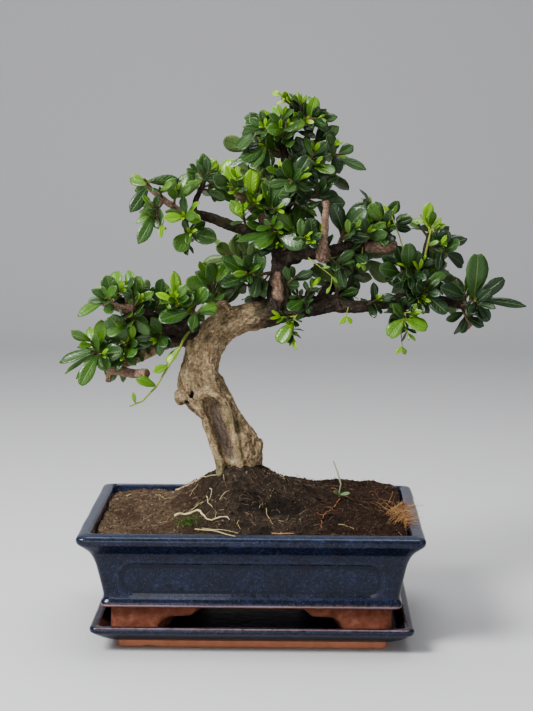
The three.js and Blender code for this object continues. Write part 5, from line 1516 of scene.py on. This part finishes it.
def grow_shoots():
    """Every shoot's twig lines and leaves, as the plain model has them."""
    crown = Crown()
    for x, y, z, wide, _ in TRUNK:
        crown.take([[x, y, z]], wide)
    for stations in map(np.array, STEMS.values()):
        for a, b in zip(stations, stations[1:]):
            both = np.array([a, a + (b - a) * 0.5])
            crown.take(both[:, :3], both[:, 3])
    for *_, rows in SHOOTS.values():
        for leaf in placed(rows):
            crown.take_leaf(leaf)
    shoots = {}
    for name, (root, end, count, length, seed, rows) in SHOOTS.items():
        lines = twig_lines(root, end, count, seed)
        shoots[name] = (lines, placed(rows) + crown.grow(lines, count, length, seed, LEAF["room"]))
    shoots["hanging_shoot"] = by_hand(HANGING)
    return crown, shoots


crown, shoots = grow_shoots()
print("shoots", len(shoots), "leaves", sum(len(leaves) for _, leaves in shoots.values()))

# %% [markdown]
# ## More leaves than the plain model
#
# The plain model has about a third of the tree's leaves. Here every twig gets up to three side twigs, and
# the rule goes on with smaller leaves that need less room, until the crown closes. No leaf may reach past
# the box of the plain model.

# %% Dense crown
FILL = {"leaves": 22, "room": 1.1, "length": 0.74, "width": 0.86, "roll": 2.0, "seed": 500}
SIDE_TWIG = {"shares": (0.2, 0.5, 0.85), "length": 14.0, "turn": 1.1, "apart": 2.1, "rise": 0.2,
             "radii": (1.0, 0.8)}
TUFT = {"leaves": 3, "chance": 0.5, "length": 9.5, "uneven": (0.7, 1.25), "width": 0.36, "spread": 0.5,
        "lift": 4.0, "apart": 2.2, "roll": 40.0}
# How far a twig's end stays below the crown's outline
TWIG_ROOM = 4.0
BOX_LOW = (-173.0, -108.0, 150.0)
BOX_HIGH = (241.5, 118.0, 481.5)
CROWN_TOP = [
    (-180, 240), (-157, 282), (-140, 314), (-114, 318), (-112, 404), (-70, 408), (-50, 424), (-16, 432),
    (-9, 455), (27, 482), (60, 477), (70, 464), (78, 442), (96, 416), (102, 388), (121, 376), (162, 369),
    (189, 354), (198, 336), (216, 318), (243, 296),
]
# How many leafy twigs sprout along each limb, apart from the shoots
LIMB_TWIGS = {
    "upright": 5, "right_upper": 7, "upper_stem": 9, "top_stub": 6, "side_stub": 6, "arm_stub": 2,
    "right_limb": 6, "right_stem": 2, "left_lower": 6, "left_back": 5, "left_tip_stem": 1, "top_left_stem": 3,
    "left_upper": 2, "stub_up_left": 2, "back_low": 6, "back_right": 8, "back_upper": 3, "back_crown": 3,
    "back_top": 3, "back_left": 3, "back_far_right": 3,
}
LIMB_TWIG = {"first": 0.3, "last": 0.97, "length": 15.0, "uneven": (0.8, 1.3), "along": 0.5, "rise": 0.45,
             "radii": (1.2, 0.9), "leaves": 8, "leaf_length": 18.0, "seed": 21, "leaf_seed": 700}


def below_top(points, room=0):
    """Whether points stay in the box of the plain model and below the crown's outline."""
    points = np.array(points)
    top = np.interp(points[:, 0], *zip(*CROWN_TOP)) - room
    return bool((points > BOX_LOW).all() and (points < BOX_HIGH).all() and (points[:, 2] < top).all())


def side_twigs(lines, seed):
    """More side twigs on a shoot, each turned further round it."""
    start, stop = lines[0][:2]
    along = unit(stop - start)
    side = unit(np.cross(along, (0.1, 0.2, 1.0)))
    up = np.cross(side, along)
    added = []
    for number, share in enumerate(SIDE_TWIG["shares"]):
        turn = swing(side, up, seed * 2.4 + number * SIDE_TWIG["apart"]) * SIDE_TWIG["turn"]
        aim = unit(along + turn + (0, 0, SIDE_TWIG["rise"]))
        fork = start + (stop - start) * share
        added.append((fork, fork + aim * SIDE_TWIG["length"], *SIDE_TWIG["radii"]))
    return [line for line in added if below_top(line[1:2], TWIG_ROOM)]


def young_tuft(line, draw):
    """Sometimes a few narrow young leaves that stand on the tip of a side twig."""
    leaves = []
    if draw.uniform() >= TUFT["chance"]:
        return leaves
    start, stop = line[:2]
    along = unit(stop - start + (0, 0, TUFT["lift"]))
    side = unit(np.cross(along, ASIDE))
    up = np.cross(side, along)
    turned = draw.uniform(0, 2 * math.pi)
    for i in range(TUFT["leaves"]):
        aim = unit(along + swing(side, up, turned + i * TUFT["apart"]) * TUFT["spread"])
        length = TUFT["length"] * draw.uniform(*TUFT["uneven"])
        leaf = (stop, stop + aim * length, length * TUFT["width"], draw.uniform(-TUFT["roll"], TUFT["roll"]))
        if below_top(leaf_points(leaf)):
            leaves.append(leaf)
            crown.take_leaf(leaf)
    return leaves


def more_leaves(lines, count, length, seed):
    """Leaves by the rule that are narrower, roll further and need less room than the plain model's."""
    grown = crown.grow(lines, count, length, seed, FILL["room"])
    grown = [(base, tip, width * FILL["width"], roll * FILL["roll"]) for base, tip, width, roll in grown]
    return [leaf for leaf in grown if below_top(leaf_points(leaf))]


def limb_twigs():
    """Short leafy twigs along the limbs, as one more shoot."""
    draw = np.random.default_rng(LIMB_TWIG["seed"])
    lines, leaves, tuft_leaves = [], [], []
    for number, (name, count) in enumerate(LIMB_TWIGS.items()):
        limb = smooth_line(STEMS[name], 4.0)
        for share in np.linspace(LIMB_TWIG["first"], LIMB_TWIG["last"], count):
            i = min(int(share * (len(limb) - 1)), len(limb) - 2)
            start = limb[i, :3]
            along = unit(limb[i + 1, :3] - start)
            side = square_to(along, ASIDE)
            out = swing(side, np.cross(along, side), draw.uniform(0, 2 * math.pi))
            aim = unit(out + along * LIMB_TWIG["along"] + (0, 0, LIMB_TWIG["rise"]))
            length = LIMB_TWIG["length"] * draw.uniform(*LIMB_TWIG["uneven"]) + limb[i, 3]
            line = (start, start + aim * length, *LIMB_TWIG["radii"])
            if below_top(line[1:2], TWIG_ROOM):
                lines.append(line)
                tuft_leaves += young_tuft(line, draw)
                seed = LIMB_TWIG["leaf_seed"] + 10 * number + int(100 * share)
                leaves += more_leaves([line], LIMB_TWIG["leaves"], LIMB_TWIG["leaf_length"], seed)
    return lines, leaves, tuft_leaves


def fill_shoots():
    """Adds side twigs and leaves to every shoot that grows by rule, and returns the young tufts."""
    tufts = {}
    for name, (_, _, _, length, seed, _) in SHOOTS.items():
        lines, leaves = shoots[name]
        draw = np.random.default_rng(seed)
        lines += side_twigs(lines, seed)
        tufts[name] = [leaf for line in lines for leaf in young_tuft(line, draw)]
        leaves += more_leaves(lines, FILL["leaves"], length * FILL["length"], seed + FILL["seed"])
    return tufts


tufts = fill_shoots()
*shoots["limbs"], tufts["limbs"] = limb_twigs()
print("leaves in all", sum(len(leaves) for _, leaves in shoots.values()), "tuft leaves",
      sum(map(len, tufts.values())))

# %% [markdown]
# ## One leaf
#
# A leaf is spoon-shaped: narrow at the stalk, widest past the middle and blunt or notched at the tip. It is
# thin, folded a little along its midrib and arched backwards. The recipe starts from a flat box of few
# faces and bends it by a formula, so that it is a closed blade with an upper and a lower side. Length,
# width, fold and arch are read from the leaf's root point, which makes each leaf its own shape. The same
# recipe thickens the shoot's lines into round twigs.

# %% Geometry Nodes recipe for a leafy shoot
def leaf_recipe():
    recipe = Recipe("leafy_shoot", Thickness=0.42, Twig_sides=7, Leaf_finish=None, Twig_finish=None)
    sizes = {"Size": (1.0, 1.0, 1.0), "Vertices X": 5, "Vertices Y": 8, "Vertices Z": 2}
    box = recipe.node("GeometryNodeMeshCube", None, sizes)
    blade = recipe.vector("ADD", recipe.vector("MULTIPLY", recipe.place, (2.0, 1.0, 2.0)), (0.0, 0.5, 0.0))
    box = recipe.store(box, "blade", blade, "FLOAT_VECTOR")
    dot = recipe.shift(box, recipe.vector("SCALE", recipe.place, -1.0))
    leafy = recipe.above(recipe.named("leafy"), 0.5)
    leaves = recipe.copies(dot, {0: recipe.source, 1: leafy})
    u, v, side = recipe.split(recipe.named("blade", "FLOAT_VECTOR"))
    t = 1 - (1 - v) ** 1.25
    names = ("phase", "leaf_length", "leaf_width", "notch", "fold", "arch")
    phase, long, wide, notch, fold, arch = map(recipe.named, names)
    floor = 0.09 + t ** 10 * 0.22
    spoon = ((t ** 1.5) * math.pi).sine().most(0.0) ** 0.65
    half = (floor + (1 - floor) * spoon) * wide * 0.5
    edge = u * u
    notch = (notch * (1 - edge) + edge * 0.06) * t ** 6
    ripples = ((t * 11 + phase).sine() * 0.55 + (t * 19 + phase * 3 + u).sine() * 0.3) * edge * wide * 0.045
    raised = fold * wide * 0.5 * (edge * 0.75 + u.size() * 0.25) * spoon
    bent = t * t * long * arch
    thick = recipe.input("Thickness") * 0.5 * side * (1 - edge * 0.45)
    over = raised + ripples - bent + thick
    sway = (t * 2.6 + phase).sine() * wide * 0.04
    along, across, face = (recipe.named(name, "FLOAT_VECTOR") for name in ("along", "across", "face"))
    offset = recipe.vector("SCALE", along, (t - notch) * long)
    offset = recipe.vector("ADD", offset, recipe.vector("SCALE", across, u * half + sway * t))
    offset = recipe.vector("ADD", offset, recipe.vector("SCALE", face, over))
    leaves = recipe.paint(recipe.shift(leaves, recipe.vector("SCALE", offset, MM)), "Leaf finish")
    twigs = recipe.paint(recipe.tubes("Twig sides"), "Twig finish")
    both = recipe.node("GeometryNodeJoinGeometry", None, {0: twigs})
    recipe.feed(both.socket.node.inputs[0], leaves)
    return recipe.finish(recipe.smooth(both))


leafy_shoot = leaf_recipe()
print("leaf recipe has", len(leafy_shoot.tree.nodes), "nodes")

# %% [markdown]
# ## Leaf and twig finishes
#
# Old leaves are dark green and waxy, with strong white reflections. Young ones at the tips are yellow-green.
# The midrib and a few side veins are sunk in, so they show as fine lines in the shine. The lower side is
# paler and dull. Every leaf has its own tone, kept on its points.

# %% Leaf and twig finishes
def leaf_finish():
    leaf = Finish("waxy_leaf", Coat_Weight=0.26, Coat_Roughness=0.24, Specular_IOR_Level=0.55)
    u, v, side = leaf.split(leaf.attribute("blade", out=1))
    tone = leaf.attribute("tone")
    patches = leaf.noise(7, 3, 0.6)
    fine = leaf.noise(1.3, 3, 0.6)
    away = u.size()
    colour = leaf.ramp(
        tone + (patches - 0.5) * 0.10, (0.05, (0.012, 0.040, 0.010)), (0.28, (0.034, 0.095, 0.013)),
        (0.50, (0.085, 0.200, 0.014)), (0.78, (0.21, 0.42, 0.012)), (1.0, (0.38, 0.56, 0.025)))
    rib = 1 - away.rise(0.02, 0.13)
    comb = ((v * 7.5 - away * 1.6).part() - 0.5).size()
    vein = (1 - comb.rise(0.02, 0.16)) * away.rise(0.05, 0.2) * (1 - away.rise(0.75, 0.95))
    colour = leaf.mix(colour, (0.16, 0.25, 0.05), (rib * 0.55 + vein * 0.10) * (1 - tone * 0.5))
    stalk = 1 - v.rise(0.02, 0.14)
    colour = leaf.mix(colour, (0.30, 0.34, 0.07), stalk * 0.8)
    colour = leaf.mix(colour, (0.006, 0.020, 0.007), fine.rise(0.60, 0.75) * 0.25 * (1 - tone))
    below = 1 - side.rise(-0.5, 0.3)
    colour = leaf.mix(colour, (0.125, 0.190, 0.055), below * 0.72)
    rough = 0.27 + below * 0.33 + fine * 0.14 + tone * 0.10
    relief = leaf.bump((1 - rib) * 0.9 + (1 - vein) * 0.5 + patches * 0.8 + fine * 0.12, 0.55)
    return leaf.set(Base_Color=colour, Roughness=rough, Normal=relief)


def twig_finish():
    twig = Finish("brown_twig", Specular_IOR_Level=0.3)
    tone = twig.attribute("tone")
    rough = twig.noise(1.6, 4, 0.65)
    brown = twig.ramp(rough, (0.3, (0.035, 0.024, 0.016)), (0.55, (0.12, 0.085, 0.055)),
                      (0.75, (0.23, 0.17, 0.11)))
    green = twig.ramp(rough, (0.3, (0.16, 0.22, 0.04)), (0.7, (0.34, 0.42, 0.09)))
    colour = twig.mix(brown, green, tone.rise(0.45, 0.75))
    return twig.set(Base_Color=colour, Roughness=0.7, Normal=twig.bump(rough, 0.5))


waxy_leaf = leaf_finish()
brown_twig = twig_finish()

# %% [markdown]
# ## The leafy shoots
#
# Each shoot is first a bare frame: its twig lines as edges, and one loose point for the root of each leaf
# with the leaf's directions and sizes. The recipe is then run on it, and the result stands for the plain
# shoot of the same name.

# %% Build the shoots
YOUNG = {"crown_tip": 0.80, "right_stem_tip": 0.66, "left_yellow": 0.80, "pale_stub": 0.66,
         "hanging_shoot": 0.60, "centre_bright": 0.68, "limb_hanging": 0.52, "trio": 0.42, "whips": 0.70}
# How many of a shoot's leaves are young, from the first
BRIGHT_LEAVES = {"crown_tip": 14, "right_stem_tip": 3, "left_yellow": 3, "pale_stub": 3, "hanging_shoot": 9,
                 "centre_bright": 6, "limb_hanging": 1, "trio": 3, "whips": 14}
# Tone of the leaves of a young tuft
TUFT_TONE = (0.62, 0.9)
NOTCHED_FROM = 12.0
LEAF_MARKS = ("along", "across", "face", "leaf_length", "leaf_width", "arch", "fold", "phase", "notch")
TWIG_PARTS = 6
TWIG_BEND = 0.05


def chained(lines):
    """All points of several lines, and the edges that join each line's own points."""
    points, edges = [], []
    for line in lines:
        edges += [(len(points) + i, len(points) + i + 1) for i in range(len(line) - 1)]
        points += list(line)
    return points, edges


def bent_twig(start, stop, radius, end_radius):
    """Places and radii along a slightly bent twig between its two ends."""
    along = stop - start
    side = np.cross(unit(along), (0.3, 0.2, 0.9))
    t = np.linspace(0, 1, TWIG_PARTS)
    bend = np.sin(t * math.pi) * TWIG_BEND * np.linalg.norm(along)
    return start + np.outer(t, along) + np.outer(bend, side), radius + (end_radius - radius) * t


def leaf_tone_with_painted_shade(tip, mean_height, draw):
    """Old leaves are dark, and painted darker towards the shaded right as painted shade. A few at the top of
    a shoot are young.
    """
    high = np.clip((tip[2] - mean_height) / 40, -0.5, 0.5)
    # Painted shade: tone falls towards the right of the crown
    tone = 0.22 - 0.0012 * tip[0] + 0.10 * draw.normal() + 0.14 * high
    if draw.uniform() < 0.10 + 0.2 * high:
        tone += draw.uniform(0.2, 0.4)
    return np.clip(tone, 0.02, 0.9)


def make_shoot(name, leaf_look, twig_look):
    lines, leaves = shoots[name]
    draw = np.random.default_rng(sum(name.encode()))
    young = YOUNG.get(name, 0)
    places, radii = zip(*(bent_twig(*line) for line in lines))
    points, edges = chained(places)
    mean_height = np.mean([tip[2] for _, tip, *_ in leaves])
    tones, leaf_rows = [float(young > 0)] * len(points), []
    for number, (base, tip, width, roll) in enumerate(leaves + tufts.get(name, [])):
        in_tuft = number >= len(leaves)
        base = base if in_tuft else nearest_on(lines, base)
        *directions, length = leaf_frame(base, tip, roll)
        if in_tuft:
            tone = draw.uniform(*TUFT_TONE)
        elif number < BRIGHT_LEAVES.get(name, 0):
            tone = young + 0.08 * draw.normal()
        else:
            tone = leaf_tone_with_painted_shade(tip, mean_height, draw)
        points.append(base)
        tones.append(tone)
        arch = LEAF["arch"] * draw.uniform(0.6, 1.5)
        fold, phase = draw.uniform(0.10, 0.24), draw.uniform(0, 6.28)
        notch = draw.uniform(0.02, 0.09) if width > NOTCHED_FROM else 0.0
        leaf_rows.append((*directions, length, width, arch, fold, phase, notch))
    piece = make_piece(f"leafy_{name}", points, [], edges=edges)
    on_twigs, on_leaves = np.zeros(len(points) - len(leaf_rows)), np.zeros(len(leaf_rows))
    mark(piece, tone=tones, girth=np.concatenate([*radii, on_leaves]), leafy=[*on_twigs, *on_leaves + 1])
    for word, column in zip(LEAF_MARKS, zip(*leaf_rows)):
        mark(piece, **{word: [*np.zeros((len(on_twigs), *np.shape(column[0]))), *column]})
    leafy_shoot.cook(piece, Leaf_finish=leaf_look, Twig_finish=twig_look)
    move_points(piece, np.clip(points_of(piece), *(np.array(cad_box) / MM)))
    if name == "weed":
        finish_piece(piece, "weed", "weed_sprout")
    elif name in ("limbs", "whips"):
        finish_piece(piece, "leaf")
    else:
        finish_piece(piece, "young_leaf" if young else "leaf", f"shoot_{name}")


shoots["whips"] = by_hand(WHIPS)
for name in shoots:
    make_shoot(name, waxy_leaf, brown_twig)

# %% [markdown]
# ## Weed
#
# A thin weed has come up to the right of the trunk. It is a pale bent stem with three small leaves, so the
# leaf recipe makes it too, with a paler finish.

# %% Weed
def weed_finish():
    weed = Finish("pale_weed", Specular_IOR_Level=0.35)
    soft = weed.noise(2.0, 3, 0.6)
    high = weed.split(weed.place)[2].rise(0.118, 0.140)
    colour = weed.mix((0.10, 0.16, 0.05), (0.38, 0.44, 0.28), high * 0.8 + soft * 0.2)
    return weed.set(Base_Color=colour, Roughness=0.55 + soft * 0.2, Normal=weed.bump(soft, 0.3))


pale_weed = weed_finish()
shoots["weed"] = by_hand(WEED)
make_shoot("weed", pale_weed, pale_weed)

# %% [markdown]
# ## Crumbs on the soil
#
# A potting soil is never smooth: thousands of crumbs lie on it. They are scattered on the soil's upward
# faces with a fixed seed. Each is a ball of twenty faces, turned, stretched and made uneven.

# %% Geometry Nodes recipe for crumbs
def crumb_recipe():
    recipe = Recipe("soil_crumbs", Per_square_metre=74000.0, Seed=3, Finish=None)
    up = recipe.split(recipe.node("GeometryNodeInputNormal"))[2]
    points = recipe.node("GeometryNodeDistributePointsOnFaces", None, {
        "Mesh": recipe.source, "Selection": recipe.above(up, 0.45),
        "Density": recipe.input("Per square metre"), "Seed": recipe.input("Seed")})
    grain = recipe.node("GeometryNodeMeshIcoSphere", None, {"Radius": 1.0, "Subdivisions": 1})
    draw, tone = recipe.draw(0.0, 1.0, 1), recipe.draw(-0.10, 0.20, 2)
    turn = recipe.draw((0.0, 0.0, 0.0), (6.3, 6.3, 6.3), 3)
    shape = recipe.draw((0.6, 0.6, 0.5), (1.3, 1.3, 1.0), 4)
    scale = recipe.vector("SCALE", shape, (draw ** 3 * 1.15 + 0.38) * MM)
    points = recipe.store(points, "tone", tone)
    crumbs = recipe.copies(grain, {0: points, 5: turn, 6: scale})
    rough = recipe.noise(1.2, 1.0, 0.6) - 0.5
    return recipe.finish(recipe.paint(recipe.push(crumbs, rough * 0.9 * MM), "Finish"))


soil_crumbs = add_object("soil_crumbs", soil_body.data.copy())
crumb_recipe().cook(soil_crumbs, Finish=fibrous_soil)
finish_piece(soil_crumbs, "soil")

# %% [markdown]
# ## Roots, fibres and straw
#
# Pale surface roots creep over the mound, the largest in a zigzag on the left and one over the front rim.
# Short fibres lie all over the soil, and a tuft of coconut fibre stands over the right rim. All are thin
# lines that a second recipe thickens into tapered tubes. The few large roots are listed one by one where
# the photograph shows them. The rest are random walks over the soil with a fixed seed.

# %% Geometry Nodes recipe for strands
def strand_recipe():
    recipe = Recipe("strands", Sides=4, Finish=None)
    return recipe.finish(recipe.paint(recipe.smooth(recipe.tubes("Sides")), "Finish"))


strands = strand_recipe()


def strand_finish(name, dark, middle, pale):
    strand = Finish(name, Specular_IOR_Level=0.3)
    streaks = strand.noise(1.4, 3, 0.7)
    value = strand.attribute("tone") * 0.75 + streaks * 0.4
    colour = strand.ramp(value, (0.15, dark), (0.5, middle), (0.9, pale))
    return strand.set(Base_Color=colour, Roughness=0.8, Normal=strand.bump(streaks, 0.4))


def make_strands(name, slot, colours, rows, sides):
    """A piece from rows of points, radii and one tone, in a finish of three colours."""
    lines, radii, tones = zip(*rows)
    points, edges = chained(lines)
    piece = make_piece(name, points, [], edges=edges)
    tones = np.repeat(tones, [len(line) for line in lines])
    mark(piece, girth=np.concatenate(radii), tone=tones)
    strands.cook(piece, Sides=sides, Finish=strand_finish(*colours))
    finish_piece(piece, slot)


print("strand recipe has", len(strands.tree.nodes), "nodes")

# %% Surface roots
# Points of x and y on the soil, then the radius at the thick end
ROOTS = [
    ([(-74, 24), (-64, 21), (-54, 10), (-45, -4), (-34, -13)], 1.0, 0.55),
    ([(-70, -47), (-66, -46), (-59, -44), (-52, -43), (-47, -46), (-45, -53), (-39, -61), (-32, -59),
      (-25, -56), (-20, -59)], 1.25, 0.8),
    ([(-57, -40), (-49, -32), (-45, -31)], 0.55, 0.6), ([(-43, -27), (-40, -36), (-36, -43)], 0.55, 0.75),
    ([(-40, -21), (-37, -25), (-38, -30), (-40, -34)], 0.45, 0.7),
    ([(-30, -38), (-26, -34), (-22, -34)], 0.45, 0.5),
    ([(-33, -58), (-33, -51), (-30, -48), (-27, -48)], 0.45, 0.5),
    ([(5, -46), (7, -42), (11, -40)], 0.4, 0.5), ([(11, -44), (12, -50), (15, -59), (17, -69)], 0.4, 0.4),
    ([(15, -33), (16, -29), (18, -23)], 0.3, 0.5), ([(22, -61), (28, -61), (31, -56)], 0.4, 0.45),
    ([(-14, -65), (-12, -61)], 0.4, 0.6), ([(-13, -68), (-10, -75)], 0.35, 0.45),
    ([(12, 6), (20, 2), (27, -2)], 0.5, 0.5), ([(-58, -20), (-55, -14), (-51, -7)], 0.35, 0.5),
    ([(75, -62), (82, -63), (88, -78)], 0.55, 0.35), ([(-28, -18), (-27, -23)], 0.4, 0.4),
    ([(-96, 78), (-90, 62), (-84, 14), (-78, 8)], 0.5, 0.4), ([(-124, 74), (-121, 80)], 0.6, 0.7),
]
ORANGE_ROOTS = [
    ([(77, -10), (72, -23), (67, -34), (63, -43), (60, -55), (60, -74)], 0.6, 0.35),
    ([(70, 38), (76, 35), (78, 27)], 0.4, 0.4), ([(17, -86), (36, -81)], 0.8, 0.75),
    ([(56, -42), (63, -44), (69, -41)], 0.5, 0.25),
]
RIM_ROOTS = [
    [(-50, -78, 104.4, 0.6), (-42, -86, 105.6, 0.6), (-33, -94, 106.9, 0.55), (-27, -97, 106.2, 0.5),
     (-22, -103, 106.1, 0.4), (-14, -107.4, 105.4, 0.25)],
    [(-44, -76, 104.8, 0.4), (-35, -88, 106.6, 0.4), (-24, -94, 107.6, 0.3), (-12, -99, 106.2, 0.2)],
]

RIM_ROOT_TONE = 0.55
# Colours of a strand from dark to pale
PALE_ROOT = ("pale_root", (0.14, 0.10, 0.05), (0.38, 0.31, 0.16), (0.70, 0.65, 0.38))
ORANGE_ROOT = ("orange_root", (0.13, 0.05, 0.025), (0.36, 0.16, 0.075), (0.62, 0.36, 0.18))
ROOT_STEP = 2.0


def on_soil(places, radius, tone):
    """A root's line on the soil, tapered to its far end."""
    flat = np.column_stack([places, np.zeros((len(places), 2))])
    x, y, *_ = smooth_line(flat, ROOT_STEP).T
    taper = radius * np.linspace(1.0, 0.45, len(x))
    place = flat_place(x, y)
    wave = 0.8 * ripple(place, 4, 31)
    points = np.column_stack([x + wave, y - wave, soil_top(x, y) + taper * 0.35 + 0.4 + wave * 0.5])
    return points, taper * (1 + 0.2 * ripple(place, 2.5, 32)), tone


rim_lines = [smooth_line(places, ROOT_STEP) for places in RIM_ROOTS]
pale_rows = [on_soil(*row) for row in ROOTS]
pale_rows += [(line[:, :3], line[:, 3], RIM_ROOT_TONE) for line in rim_lines]
make_strands("pale_roots", "bark", PALE_ROOT, pale_rows, 7)
make_strands("orange_roots", "bark", ORANGE_ROOT, [on_soil(*row) for row in ORANGE_ROOTS], 6)

# %% Fibres, tuft and moss
# Ranges are pairs of low and high. Heights, lengths and radii are in millimetres, turns in radians
INNER = np.array([134.0, 98.0])
STRAND_PARTS = 6
TAPER = 0.6
FIBRES = {"count": 1500, "seed": 5, "shortest": 3, "longer": 12, "curl": (0.03, 0.3), "arch": (0.1, 1.6),
          "raised": 0.12, "rise": (1, 6), "radius": (0.07, 0.22)}
COIR = {"count": 170, "seed": 6, "x": 127.0, "y": -20.0, "spread": (6, 22), "turn": 1.1, "bend": 0.7,
        "length": (9, 25), "rise": (2.5, 8.0), "fall": (1.6, 2.9), "radius": (0.12, 0.26)}
# The tuft starts no further right than this, and lies on the rim beyond the inner wall
COIR_FROM, OVER_RIM = 131.0, 1.0
MOSS = {"count": 130, "seed": 7, "x": -55.0, "y": -60.0, "spread": (6, 5), "lean": 0.8,
        "height": (1.2, 3.4), "radius": 0.42}
FIBRE_COLOURS = ("soil_fibre", (0.055, 0.032, 0.020), (0.24, 0.155, 0.090), (0.55, 0.44, 0.29))
COIR_COLOURS = ("coir_fibre", (0.10, 0.040, 0.018), (0.34, 0.16, 0.065), (0.62, 0.40, 0.19))
MOSS_COLOURS = ("green_moss", (0.015, 0.030, 0.010), (0.050, 0.105, 0.018), (0.13, 0.25, 0.035))


def walk(draw, x, y, length, heading, curl):
    """A curved line of points over the soil, as x and y."""
    places = [(x, y)]
    for _ in range(STRAND_PARTS - 1):
        heading += draw.normal() * curl
        x += math.cos(heading) * length / STRAND_PARTS
        y += math.sin(heading) * length / STRAND_PARTS
        places.append((x, y))
    return np.clip(places, POT_CENTRE - INNER, POT_CENTRE + INNER)


def soil_fibre(draw):
    x, y = (draw.uniform(-reach, reach) for reach in INNER)
    length = FIBRES["shortest"] + FIBRES["longer"] * draw.beta(1.2, 2.5)
    places = walk(draw, x, y, length, draw.uniform(0, 2 * math.pi), draw.uniform(*FIBRES["curl"]))
    t = np.linspace(0, 1, STRAND_PARTS)
    arch = draw.uniform(*FIBRES["arch"]) * np.sin(t * math.pi)
    arch += (draw.uniform() < FIBRES["raised"]) * draw.uniform(*FIBRES["rise"]) * t
    z = soil_top(*places.T) + 0.25 + arch
    radii = draw.uniform(*FIBRES["radius"]) * (1 - TAPER * t)
    return np.column_stack([places, z]), radii, draw.beta(1.3, 2.4) - 0.002 * x


def ground_at(table, draw):
    """A place near the middle of a tuft, and the soil's height there."""
    x, y = (table[axis] + draw.normal() * spread for axis, spread in zip("xy", table["spread"]))
    return x, y, soil_top(np.array([x]), np.array([y]))[0]


def coir_fibre(draw):
    x, y, ground = ground_at(COIR, draw)
    heading, length = draw.normal() * COIR["turn"], draw.uniform(*COIR["length"])
    t = np.linspace(0, 1, STRAND_PARTS)
    path = heading + draw.normal() * COIR["bend"] * t
    px = min(x, COIR_FROM) + np.cumsum(np.cos(path)) * length / STRAND_PARTS
    py = y + np.cumsum(np.sin(path)) * length / STRAND_PARTS
    z = ground + 0.3 + draw.uniform(*COIR["rise"]) * np.sin(t * draw.uniform(*COIR["fall"]))
    z = np.maximum(z, np.where(px > INNER[0], POT["rim"] + OVER_RIM, ground - 1))
    radii = draw.uniform(*COIR["radius"]) * (1 - TAPER * t)
    return np.column_stack([px, py, z]), radii, draw.uniform(0.1, 1)


def moss_blade(draw):
    x, y, ground = ground_at(MOSS, draw)
    lean = draw.normal(size=2) * MOSS["lean"]
    t = np.linspace(0, 1, 3)
    height = draw.uniform(*MOSS["height"])
    x, y = x + lean[0] * t ** 2 * height, y + lean[1] * t ** 2 * height
    places = np.column_stack([x, y, ground - 0.3 + t * height])
    return places, MOSS["radius"] * (1.05 - t), draw.uniform(0.1, 1)


def scatter(name, slot, colours, make_row, table, sides):
    draw = np.random.default_rng(table["seed"])
    make_strands(name, slot, colours, [make_row(draw) for _ in range(table["count"])], sides)


scatter("soil_fibres", "soil", FIBRE_COLOURS, soil_fibre, FIBRES, 3)
scatter("coir_tuft", "soil", COIR_COLOURS, coir_fibre, COIR, 3)
scatter("moss_patch", "weed", MOSS_COLOURS, moss_blade, MOSS, 4)
